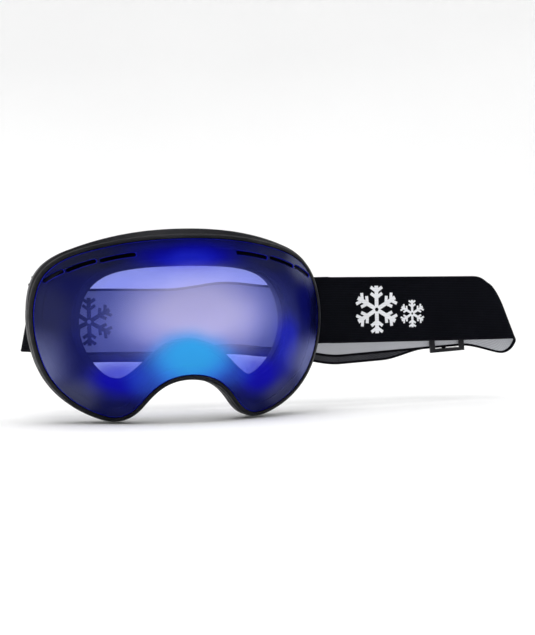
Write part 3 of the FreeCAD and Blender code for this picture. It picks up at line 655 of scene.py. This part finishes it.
def filled(outer, holes, spacing, clearance):
    """Triangles of the area inside one loop and outside others, over an even grid of points."""
    low, high = outer.min(axis=0), outer.max(axis=0)
    columns = np.arange(low[0] + spacing / 2, high[0], spacing)
    rows = np.arange(low[1] + spacing / 2, high[1], spacing)
    grid = np.array([(x, z) for z in rows for x in columns])
    edges_at = np.concatenate([outer] + holes)
    free = inside(grid, outer)
    for hole in holes:
        free &= ~inside(grid, hole)
    grid = grid[free]
    nearest = np.min(np.linalg.norm(grid[:, None, :] - edges_at[None, :, :], axis=2), axis=1)
    grid = grid[nearest > clearance]
    points = np.concatenate([edges_at, grid])
    edges, start = [], 0
    for loop in [outer] + holes:
        edges += [(start + i, start + (i + 1) % len(loop)) for i in range(len(loop))]
        start += len(loop)
    spots, _, faces, _, _, _ = delaunay_2d_cdt([Vector(p) for p in points], edges, [], 0, 1e-6)
    spots, faces = np.array([tuple(s) for s in spots]), np.array(faces)
    centres = spots[faces].mean(axis=1)
    wanted = inside(centres, outer)
    for hole in holes:
        wanted &= ~inside(centres, hole)
    return spots, faces[wanted]


LENS_CHAMFER = 0.35
LENS_FRONT, LENS_CUT, LENS_REAR = range(3)


def lens_loops(grow):
    """The lens's outline and its slots' outlines, each moved into the sheet."""
    loops = [rim_loop(LENS_INSET + grow)]
    for side in (-1, 1):
        loops += [slot_outline(ends, side, (SLOT_HEIGHT + grow) / 2) for ends in SLOT_ENDS.values()]
    return loops


def make_outer_lens():
    """A spherical sheet with softened edges: tinted front, clear back, deep blue cut edges."""
    face_loops, cut_loops = lens_loops(LENS_CHAMFER), lens_loops(0.0)
    points, faces, kinds, normals = [], [], [], []

    def patch(loops, radius, way, kind):
        flat, triangles = filled(loops[0], loops[1:], 3.0, 1.0)
        sheet = on_sphere(flat, 0.0, radius)
        outward = (sheet - np.array((0.0, LENS_CENTRE, 0.0))) / radius * way
        start = sum(len(p) for p in points)
        points.append(sheet)
        normals.append(outward)
        for triangle in triangles:
            a, b, c = flat[triangle]
            turn = (b[0] - a[0]) * (c[1] - a[1]) - (b[1] - a[1]) * (c[0] - a[0])
            face = tuple(start + triangle)
            faces.append(face if turn * way > 0 else face[::-1])
            kinds.append(kind)

    patch(face_loops, LENS_RADIUS, 1, LENS_FRONT)
    patch(cut_loops, LENS_RADIUS - LENS_WALL, -1, LENS_REAR)
    for index, (face_loop, cut_loop) in enumerate(zip(face_loops, cut_loops)):
        rows = [on_sphere(face_loop), on_sphere(cut_loop, 0.0, LENS_RADIUS - LENS_CHAMFER),
                on_sphere(cut_loop, 0.0, LENS_RADIUS - LENS_WALL)]
        start, count = sum(len(p) for p in points), len(cut_loop)
        points.append(np.concatenate(rows))
        normals.append(np.zeros((3 * count, 3)))
        after = np.roll(cut_loop, -1, axis=0)
        area = np.sum(cut_loop[:, 0] * after[:, 1] - after[:, 0] * cut_loop[:, 1])
        flip = (area > 0) != (index > 0)
        for face in tube_faces(3, count, capped=False):
            moved = tuple(start + i for i in face)
            faces.append(moved[::-1] if flip else moved)
            kinds.append(LENS_CUT)
    build("mirror_lens", np.concatenate(points), faces, [MIRROR, LENS_EDGE, LENS_BACK], "lens_unit",
          ["outer_lens"], kinds, normals=np.concatenate(normals), keep_winding=True)


NET_ROWS, NET_PITCH, NET_WIRE = 4, 0.75, 0.26
NET_MARGIN, NET_GAP = 0.8, 0.65                   # past the slot's ends, and behind the lens


def make_vent_nets():
    """A woven net behind each slot."""
    for side_name, side in (("left", -1), ("right", 1)):
        for place_name, ends in SLOT_ENDS.items():
            name = "%s_%s" % (side_name, place_name)
            start, _, length, along, out = slot_frame(ends, side)
            columns = int(length / NET_PITCH) + 3
            spots = []
            for j in range(NET_ROWS + 1):
                across = (j / NET_ROWS - 0.5) * (MESH_HEIGHT - EDGE_GAP)
                for i in range(columns + 1):
                    t = (i / columns) * (length + 2 * NET_MARGIN) - NET_MARGIN
                    bow = SLOT_BOW * 4 * (t / length) * (1 - t / length)
                    spots.append(start + along * t + out * (across + bow))
            spots = on_sphere(np.array(spots), 0.0, LENS_RADIUS - LENS_WALL - NET_GAP)
            net = build("vent_net_" + name, spots, sheet_faces(NET_ROWS + 1, columns + 1), [NET],
                        "lens_unit", ["lens_vent_mesh_" + name])
            wires = net.modifiers.new("wires", "WIREFRAME")
            wires.thickness, wires.use_replace, wires.use_boundary = NET_WIRE * MM, True, True


# ---- foams

def crowned(start, end, crown, corner):
    """A section with rounded corners whose wearer's side is crowned: share of the way from the outer to
    the inner outline, and depth."""
    bulge = [(0.10, 0.55), (0.25, 0.85), (0.5, 1.0), (0.75, 0.85), (0.90, 0.55)]
    return ([(0.05, start), (0.0, start + corner), (-0.012, (start + end) / 2), (0.0, end - 2 * corner),
             (0.03, end - 0.8 * corner)] + [(t, end - crown + crown * k) for t, k in bulge]
            + [(0.97, end - 0.8 * corner), (1.0, end - 2 * corner), (1.012, (start + end) / 2),
               (1.0, start + corner), (0.95, start)])


def make_foam_ring(name, node_name, material, insets, depths, crown, corner=0.5, wave=0.0):
    """A layer of foam between the rim and the eye port, moved in from both, from one depth to another."""
    outer, inner = by_angle(rim_loop(insets[0])), by_angle(port_loop(insets[1]))
    turn = np.linspace(0, 2 * math.pi, LOOP_SAMPLES, endpoint=False)
    ripple = wave * (np.sin(turn * 23) + 0.6 * np.sin(turn * 41 + 1.3))
    rings = []
    for share, depth in crowned(*depths, crown, corner):
        ring = on_sphere(outer + (inner - outer) * share, depth)
        ring[:, 1] += ripple * (0.5 - abs(share - 0.5))
        rings.append(ring)
    piece = build(name, np.concatenate(rings), ring_faces(len(rings), LOOP_SAMPLES), [material], "root",
                  [node_name], sharp=60.0)


def make_foams():
    make_foam_ring("foam_firm", "foam_base", FOAM_FIRM, (9.0, 0.0), (15.3, 24.3), 0.5)
    make_foam_ring("foam_crown", "foam_soft", FOAM_SOFT, (10.0, 1.2), (24.4, 31.9), 0.9,
                   wave=0.10)
    make_foam_ring("fleece_facing", "face_fleece", FLEECE, (11.0, 2.4), (32.0, 33.5), 0.6,
                   corner=0.35, wave=0.12)
    make_gasket()
    make_vent_foams()


GASKET_INSETS = (4.0, 0.4)                         # out from the eye port
GASKET_BULGE, GASKET_DEPTH = 0.25, 8.0
GASKET_FRONT = LENS_RADIUS - LENS_WALL - 0.1       # radius just behind the outer lens
GASKET_BACK = LENS_RADIUS + 0.05                   # and just in front of the inner lens, 8 mm further back


def make_gasket():
    """The foam gasket that holds the two lenses apart."""
    outer, inner = (port_loop(inset) for inset in GASKET_INSETS)
    section = [(share, "front") for share in (0.0, 0.08, 0.92, 1.0)] + [(1.06, "middle")]
    section += [(share, "back") for share in (1.0, 0.92, 0.08, 0.0)] + [(-0.06, "middle")]
    rings = []
    for share, where in section:
        loop = outer + (inner - outer) * share
        front = on_sphere(loop, 0.0, GASKET_FRONT)
        back = on_sphere(loop, GASKET_DEPTH, GASKET_BACK)
        rounded = GASKET_BULGE if share in (0.0, 1.0) else 0.0
        front[:, 1] += rounded
        back[:, 1] -= rounded
        rings.append({"front": front, "back": back, "middle": (front + back) / 2}[where])
    piece = build("lens_gasket", np.concatenate(rings), ring_faces(len(rings), LOOP_SAMPLES), [FOAM_SEAL],
                  "lens_unit", ["lens_spacer_foam"], sharp=60.0)


# From X, to X, top or bottom, least distance above or below the middle, and the CAD node.
VENT_FOAMS = {"top": (-64, 64, 1, 0, "top_vent_foam"),
              "bottom_left": (-60, -30, -1, 30, "bottom_vent_foam_left"),
              "bottom_right": (30, 60, -1, 30, "bottom_vent_foam_right")}
VENT_FOAM_WALL, VENT_FOAM_INSET = 2.9, LENS_INSET + 0.05
VENT_FOAM_FRONT = LENS_RADIUS - LENS_WALL - 2 * EDGE_GAP - 2.5     # radius behind the shelf
VENT_FOAM_DEPTH = 12.6


def make_vent_foams():
    """Strips of open foam inside the skirt's windows."""
    section = [(0.0, 0.1), (0.12, 0.0), (0.88, 0.0), (1.0, 0.1), (1.0, 0.9), (0.88, 1.0), (0.12, 1.0),
               (0.0, 0.9)]
    for name, (low, high, side, least, node_name) in VENT_FOAMS.items():
        chosen = [i for i, (x, z) in enumerate(RIM_SPOTS) if low < x < high and z * side > least]
        gap = next((k for k in range(1, len(chosen)) if chosen[k] != chosen[k - 1] + 1), 0)
        chosen = chosen[gap:] + chosen[:gap]
        runs = []
        for across, deep in section:
            loop = rim_loop(VENT_FOAM_INSET + VENT_FOAM_WALL * across)[chosen]
            front = on_sphere(loop, 0.0, VENT_FOAM_FRONT)
            back = on_sphere(loop, VENT_FOAM_DEPTH)
            runs.append(front + (back - front) * deep)
        points = np.stack(runs, axis=1).reshape(-1, 3)
        piece = build("vent_foam_" + name, points, tube_faces(len(chosen), len(section)), [FOAM_VENT], "root",
                      [node_name], sharp=60.0)


# ---- strap

def smooth(share):
    share = min(max(share, 0.0), 1.0)
    return share * share * (3 - 2 * share)


def back_level(x):
    """Height of the back run's middle: smooth between its levels, straight through the slider."""
    start_x, start = BACK_LEVELS[-1]
    end = start + math.tan(SLIDER_RISE) * (STRAIGHT_END - start_x)
    if start_x <= x <= STRAIGHT_END:
        return start + (end - start) * (x - start_x) / (STRAIGHT_END - start_x)
    levels = BACK_LEVELS + [(STRAIGHT_END, end), (FOLD_REACH, FOLD_LEVEL)]
    for (low_x, low), (high_x, high) in zip(levels, levels[1:]):
        if x < high_x:
            return low + (high - low) * smooth((x - low_x) / (high_x - low_x))
    return FOLD_LEVEL


def sag(x, y):
    """How far the return layer hangs below the back run in front of it."""
    if y <= BACK_DEPTH + STRAP_WALL:
        return 0.0
    return LAYER_DROP * smooth((x - SAG_START) / SAG_RUN) * smooth((FOLD_START - x) / DROP_RUN)


def strap_height(x, y):
    """Middle of the webbing above the origin: level at the front, waving along the back run."""
    back_line = back_level(x) - sag(x, y)
    front_line = STRAP_LEVEL - FRONT_FALL * (x - BAR_REACH)
    if x < 0:
        return back_line
    if x < BAR_REACH + LEVEL_REACH and y < BAR_DEPTH + LEVEL_DEPTH:
        return STRAP_LEVEL
    front_depth = BAR_DEPTH - FRONT_LEAD + FRONT_SWEEP * (x - BAR_REACH)
    share = min(max((y - front_depth) / (BACK_DEPTH - front_depth), 0.0), 1.0)
    return front_line + (back_line - front_line) * share


def strap_lean(x, y):
    """How far the lower edge is pushed to +X, as a slope: at the open fold, at the slack loop round the
    right bar, or square to the slider."""
    if x > RETURN_START and y > BACK_DEPTH + STRAP_WALL:
        share = (x - RETURN_START) / (FOLD_START - RETURN_START)
        return math.tan(SLIDER_RISE) * min(share, 1.0)
    loop = LOOP_LEAN * smooth((LOOP_START - x) / LOOP_RUN) * smooth((y - BAR_DEPTH - LOOP_CLEAR) / LOOP_DEPTH)
    return LEAN * min(max((x - FOLD_REACH + LEAN_START) / LEAN_RUN, 0.0), 1.0) - loop


def route_stations(corners, step=2.5):
    """Plan stations along straight runs joined by tangent arcs: arrays of X, Y and heading X, Y."""
    corners = [(Vector((x, y)), radius) for x, y, radius in corners]
    stations = []

    def walk(start, end):
        run = end - start
        steps = max(1, int(run.length / step))
        heading = run.normalized()
        for i in range(steps + 1):
            stations.append((*(start + run * (i / steps)), *heading))

    last = corners[0][0]
    for i in range(1, len(corners) - 1):
        here, radius = corners[i]
        before, after = (here - corners[i - 1][0]).normalized(), (corners[i + 1][0] - here).normalized()
        turn = before.angle(after)
        reach = radius * math.tan(turn / 2)
        way = 1 if before.x * after.y - before.y * after.x > 0 else -1
        entry = here - before * reach
        walk(last, entry)
        centre = entry + Vector((-before.y, before.x)) * radius * way
        steps = max(2, int(math.degrees(turn) / 8))
        for k in range(1, steps):
            angle = turn * k / steps * way
            heading = Vector((before.x * math.cos(angle) - before.y * math.sin(angle),
                              before.x * math.sin(angle) + before.y * math.cos(angle)))
            spot = centre - Vector((-heading.y, heading.x)) * radius * way
            stations.append((*spot, *heading))
        last = here + after * reach
    walk(last, corners[-1][0])
    stations = np.array(stations)
    distinct = [0] + [i for i in range(1, len(stations))
                      if np.linalg.norm(stations[i, :2] - stations[i - 1, :2]) > 0.02]
    return stations[distinct]


class Strip:
    """A strip of webbing along a route: a point at any distance along, height across and lift off it."""

    def __init__(self, corners):
        self.stations = route_stations(corners)
        steps = np.linalg.norm(np.diff(self.stations[:, :2], axis=0), axis=1)
        self.distance = np.concatenate([[0.0], np.cumsum(steps)])
        self.length = self.distance[-1]

    def point(self, along, across, lift):
        x, y, head_x, head_y = (np.interp(along, self.distance, self.stations[:, k]) for k in range(4))
        size = math.hypot(head_x, head_y)
        lean = strap_lean(x, y)
        near_fold = max(x - CORNER_START, 0.0) / (FOLD_REACH - CORNER_START)
        droop = CORNER_DROP * near_fold ** CORNER_POWER * max(across / HALF_WIDTH, 0.0) ** 2
        return (x - head_y / size * lift - lean * across, y + head_x / size * lift,
                strap_height(x, y) + across - droop)

    def nearest(self, x, y):
        return self.distance[np.argmin(np.hypot(self.stations[:, 0] - x, self.stations[:, 1] - y))]


def sway(along, across, wave=WAVE):
    """The webbing's gentle waviness, as a lift off its route."""
    ripple = wave * (math.sin(along / WAVE_LONG) + 0.5 * math.sin(along / WAVE_SHORT + 1.0))
    return ripple * math.cos(across / HALF_WIDTH * 2.1 + along / WAVE_TWIST) * 0.5


SELVAGE, FACE_DIP = 1.6, 0.12                      # the faces lie this much below the thicker edges
# the fourth look is the pale inner face with painted shade
OUTER, INNER, EDGE, SHADED_INNER = range(4)


def strip_section():
    """Across the webbing: (height, lift, which side), with thicker, rounded selvages."""
    flat = np.linspace(-HALF_WIDTH + SELVAGE, HALF_WIDTH - SELVAGE, 15)
    right = [(v, -HALF_WALL + FACE_DIP, "right") for v in flat]
    bead = [(HALF_WIDTH - SELVAGE + 0.5, -HALF_WALL), (HALF_WIDTH - 0.35, -HALF_WALL + 0.05),
            (HALF_WIDTH, -0.3)]
    top = [(v, lift, "edge") for v, lift in bead] + [(v, -lift, "edge") for v, lift in reversed(bead)]
    left = [(v, HALF_WALL - FACE_DIP, "left") for v in flat[::-1]]
    bottom = [(-v, -lift, kind) for v, lift, kind in top]
    return right + top + left + bottom


def make_strip(name, strip, body, nodes, turned_after=None, wave=WAVE):
    """Webbing along a route, dark on the right of its way, or on the left once it has been turned, when its
    pale face is painted darker as shade.
    """
    section = strip_section()
    points, uv = [], []
    for along in strip.distance:
        calm = min(along, strip.length - along, WAVE_CALM) / WAVE_CALM
        for across, lift, _ in section:
            points.append(strip.point(along, across, lift + sway(along, across, wave * calm)))
            uv.append((along, across))
    kinds = []
    for along in strip.distance[:-1]:
        turned = turned_after is not None and along >= turned_after
        # once turned, the pale face is painted darker grey as shade
        looks = {"right": SHADED_INNER if turned else OUTER, "left": OUTER if turned else INNER, "edge": EDGE}
        for (_, _, here), (_, _, after) in zip(section, section[1:] + section[:1]):
            kinds.append(looks[here if here == after else "edge"])
    kinds += [EDGE, EDGE]
    materials = [WEBBING_OUTER, WEBBING_INNER, WEBBING_EDGE, WEBBING_PAINTED_SHADE]
    faces = tube_faces(len(strip.distance), len(section))
    piece = build(name, points, faces, materials, body, nodes, kinds, sharp=70.0, uv=uv)
    return piece


def tangent_corner(centre, wrap, spot, corner_x):
    """The corner at corner_x on the line from a spot that clears a bar by the wrap's radius."""
    run_x, run_y = spot[0] - centre[0], spot[1] - centre[1]
    slope = math.tan(math.asin(wrap / math.hypot(run_x, run_y)) - math.atan2(run_y, abs(run_x)))
    return corner_x, spot[1] + slope * abs(spot[0] - corner_x)


BAR_WRAP = BAR_RADIUS + EDGE_GAP + HALF_WALL
PIN_WRAP = SLIDER_PIN + 0.2 + HALF_WALL
BEHIND = BACK_DEPTH + STRAP_WALL + EDGE_GAP        # depth of the return layer
SEWN_DEPTH = BEHIND + 2.1                          # depth of the slider fold's sewn end
TURN_SHARE = 0.98                                  # a bend a little tighter than the gap it fills
TAIL_END, TAIL_BEND = (18.0, 0.2), (10.0, 0.4)     # the sewn end, from the left bar
SWEEP_START, SWEEP_BACK = 12.0, 20.0               # the front run leaves the bar and drifts back
TAIL_ROUND, SWEEP_ROUND, FOLD_ROUND = 20.0, 60.0, 8.6
FOLD_BACK_ROUND, RIGHT_ROUND, LOOP_ROUND = 8.0, 14.0, 17.0


def main_route():
    """Corners of the strap's middle line in plan, and how round each one is."""
    front, turn = BAR_DEPTH - BAR_WRAP, BAR_WRAP * TURN_SHARE
    right_inside, right_outside = -BAR_REACH + BAR_WRAP, -BAR_REACH - BAR_WRAP
    tail = (BAR_REACH + TAIL_BEND[0], BAR_DEPTH + TAIL_BEND[1])
    end_corner = tangent_corner((BAR_REACH, BAR_DEPTH), BAR_WRAP, tail, BAR_REACH - BAR_WRAP)
    return [(BAR_REACH + TAIL_END[0], BAR_DEPTH + TAIL_END[1], 0), (*tail, TAIL_ROUND), (*end_corner, turn),
            (BAR_REACH - BAR_WRAP, front, turn), (BAR_REACH + SWEEP_START, front, SWEEP_ROUND),
            (FOLD_REACH, front + SWEEP_BACK, FOLD_ROUND), (FOLD_REACH, BACK_DEPTH, FOLD_BACK_ROUND),
            (right_inside, BACK_DEPTH, RIGHT_ROUND), (right_inside, front, turn),
            (right_outside, front, turn), (right_outside - LOOP_BULGE, BEHIND, LOOP_ROUND),
            (RETURN_START, BEHIND, 0)]


def slider_route():
    tail = (SLIDER_REACH - SEWN_LENGTH / 2, SEWN_DEPTH)
    turn = PIN_WRAP * TURN_SHARE
    corner = tangent_corner((SLIDER_REACH, BEHIND + PIN_WRAP), PIN_WRAP, tail, SLIDER_REACH + PIN_WRAP)
    return [(FOLD_START, BEHIND, 0), (SLIDER_REACH + PIN_WRAP, BEHIND, turn), (*corner, turn),
            (*tail, 2 * turn), (FOLD_START + 1.0, SEWN_DEPTH, 0)]


MAIN = Strip(main_route())
RETURN = Strip([(RETURN_START + 0.2, BEHIND, 0), ((RETURN_START + FOLD_START) / 2, BEHIND, 1e3),
                (FOLD_START - 0.2, BEHIND, 0)])
SLIDER_FOLD = Strip(slider_route())


def make_strap():
    right_bar = MAIN.nearest(-BAR_REACH + BAR_WRAP, BAR_DEPTH + 2.0)
    make_strip("strap_main", MAIN, "root", ["strap_webbing"], right_bar)
    sliding = make_strip("strap_sliding_layer", RETURN, "root", ["strap_return"], 0.0, wave=0.0)
    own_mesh(sliding)
    make_strip("strap_slider_fold", SLIDER_FOLD, "strap_slider", ["slider_strap_fold"], 0.0, wave=0.0)


# ---- the woven mark

def bar_shape(middle, angle, length, width):
    """The two long edges of a bar of the mark, as pairs of points in (along, across)."""
    steps = max(2, int(length))
    along = np.array((math.cos(angle), math.sin(angle)))
    out = np.array((-along[1], along[0])) * width / 2
    line = [np.array(middle) + along * length * (i / steps - 0.5) for i in range(steps + 1)]
    return [(spot - out, spot + out) for spot in line]


CRYSTALS = [((-11.0, 0.0), 1.0), ((14.5, -3.0), 0.58)]         # middle of each crystal and its scale
ARM_LENGTH, ARM_WIDTH, ARM_MIDDLE = 14.0, 2.6, 8.2
BRANCH_LENGTH, BRANCH_WIDTH, BRANCH_MIDDLE = 4.6, 2.0, 2.6
BRANCH_SPOTS, BRANCH_ANGLE = (7.6, 11.6), math.radians(55)


def mark_shapes():
    """Two plain six-armed snow crystals, one large and one small."""
    shapes = []
    for middle, scale in CRYSTALS:
        centre = np.array(middle)
        for arm in range(6):
            angle = math.radians(60 * arm + 30)
            way = np.array((math.cos(angle), math.sin(angle)))
            shapes.append(bar_shape(centre + way * ARM_MIDDLE * scale, angle, ARM_LENGTH * scale,
                                    ARM_WIDTH * scale))
            for reach in BRANCH_SPOTS:
                for side in (-1, 1):
                    branch = angle + side * BRANCH_ANGLE
                    lean = np.array((math.cos(branch), math.sin(branch)))
                    spot = centre + (way * reach + lean * BRANCH_MIDDLE) * scale
                    shapes.append(bar_shape(spot, branch, BRANCH_LENGTH * scale, BRANCH_WIDTH * scale))
    return shapes


MARK_TOP, MARK_DEEP = HALF_WALL - FACE_DIP + 0.10, HALF_WALL - 0.4


def make_mark(name, middle, side, material):
    """The mark woven into one face of the webbing: side says which face."""
    points, faces, uv = [], [], []
    for shape in mark_shapes():
        start = len(points)
        for low, high in shape:
            for (u, v), lift in ((low, MARK_TOP), (high, MARK_TOP), (high, MARK_DEEP), (low, MARK_DEEP)):
                along = middle + u
                points.append(MAIN.point(along, v, side * lift + sway(along, v)))
                uv.append((along, v))
        faces += [tuple(start + i for i in face) for face in tube_faces(len(shape), 4)]
    build(name, points, faces, [material], "root", uv=uv)


# ---- stitching

THREAD_RADIUS, THREAD_SIDES, STITCHES, STITCH_ROWS = 0.24, 6, 34, 4
STITCH_PROFILE = ((0.0, 0.55), (0.25, 1.0), (0.75, 1.0), (1.0, 0.55))      # share along, share of the radius
STITCH_MARGIN, STITCH_INSET, STITCH_WIDTH = 2.2, 0.15, 4.0
ANCHOR_TACK = (BAR_REACH + 12.5, BAR_DEPTH + 1.35)
SLIDER_TACK = (FOLD_START + 1.4, SEWN_DEPTH + HALF_WALL + 0.1)


def make_stitches(name, tack, body, node_name):
    """Rows of zigzag thread across a folded end of webbing."""
    points, faces = [], []
    low_x, y = tack
    pitch = STITCH_WIDTH / STITCH_ROWS
    bottom = strap_height(low_x + STITCH_WIDTH / 2, y) - HALF_WIDTH + STITCH_MARGIN
    rise = (STRAP_WIDTH - 2 * STITCH_MARGIN) / STITCHES
    side = Vector((0, 1, 0))
    links = tube_faces(len(STITCH_PROFILE), THREAD_SIDES)
    for row in range(STITCH_ROWS):
        left = low_x + pitch * row
        ends = (left + pitch - STITCH_INSET, left + STITCH_INSET)
        path = [Vector((ends[i % 2], y, bottom + rise * i)) for i in range(STITCHES + 1)]
        for a, b in zip(path, path[1:]):
            up = (b - a).normalized().cross(side).normalized()
            start = len(points)
            for share, swell in STITCH_PROFILE:
                spot = a.lerp(b, share)
                points += [spot + (side * math.cos(turn) + up * math.sin(turn)) * THREAD_RADIUS * swell
                           for turn in full_turn(THREAD_SIDES)]
            faces += [tuple(start + i for i in face) for face in links]
    build(name, points, faces, [THREAD], body, [node_name], sharp=80.0)


# ---- CAD pieces that keep their shape

def dress(node_name, material, edge=0.0):
    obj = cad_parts[node_name]
    obj.data.materials.clear()
    obj.data.materials.append(material)
    if edge:
        bevel(obj, edge)


# ---- stage

FLOOR_REACH, FLOOR_BEND, WALL_RISE = 1.1, 1.6, 1.8


def make_stage():
    """A pale floor that curves up all round into the backdrop."""
    turns = full_turn(96)
    profile = [(r, 0.0) for r in np.linspace(0.1, FLOOR_REACH, 8)]
    profile += [(FLOOR_REACH + FLOOR_BEND * math.sin(a), FLOOR_BEND - FLOOR_BEND * math.cos(a))
                for a in np.linspace(0, math.pi / 2, 17)[1:]]
    profile.append((FLOOR_REACH + FLOOR_BEND, FLOOR_BEND + WALL_RISE))
    points = [(TARGET.x + r * math.cos(turn), r * math.sin(turn), FLOOR_LEVEL + z) for r, z in profile
              for turn in turns]
    quads = tube_faces(len(profile), len(turns), capped=False)
    faces = [face[::-1] for face in quads] + [tuple(range(len(turns)))]
    mesh = bpy.data.meshes.new("backdrop")
    mesh.from_pydata(points, [], faces)
    for polygon in mesh.polygons:
        polygon.use_smooth = True
    material, tree = new_material("backdrop")
    mottle = remap(tree, noise(tree, place(tree), 3.0), 0.3, 0.7, 0.985, 1.0)
    tone = node(tree, "CombineColor", Red=mottle, Green=mottle, Blue=mottle).outputs[0]
    surface(tree, principled(tree, Base_Color=mixed(tree, 0.12, tone, (0.86, 0.86, 0.86)), Roughness=0.9,
                             Specular_IOR_Level=0.1))
    mesh.materials.append(material)
    link(bpy.data.objects.new("backdrop", mesh))


SKY = 0.50
# Azimuth, elevation, distance, size, power, and whether the light shows in reflections.
LIGHTS = {"key": (-30.0, 50.0, 2.0, 1.5, 6.0, False),
          "fill": (50.0, 35.0, 2.1, 1.5, 4.0, False),
          "behind": (175.0, 45.0, 2.0, 1.5, 4.0, False),
          "overhead": (0.0, 89.0, 2.4, 2.2, 26.0, True)}


def make_light():
    world = bpy.data.worlds.new("world")
    bpy.context.scene.world = world
    world.use_nodes = True
    background = world.node_tree.nodes["Background"]
    background.inputs["Color"].default_value = (1.0, 1.0, 1.0, 1.0)
    background.inputs["Strength"].default_value = SKY
    for name, settings in LIGHTS.items():
        area_light(name, *settings)


# ---- put it together

make_frame()
make_outer_lens()
make_vent_nets()
make_foams()
make_strap()
make_mark("mark_front", MAIN.nearest(146.0, 34.7), -1, MARK_PALE)
make_mark("mark_back", MAIN.nearest(-58.0, BACK_DEPTH), 1, MARK_DARK)
make_stitches("stitches_anchor", ANCHOR_TACK, "root", "anchor_stitching")
make_stitches("stitches_slider", SLIDER_TACK, "strap_slider", "slider_stitching")
dress("inner_lens", CLEAR)
dress("lens_pegs", PLASTIC, 0.2)
dress("face_plate", PLATE)
dress("slider", PLASTIC, 0.45)
make_stage()
make_light()
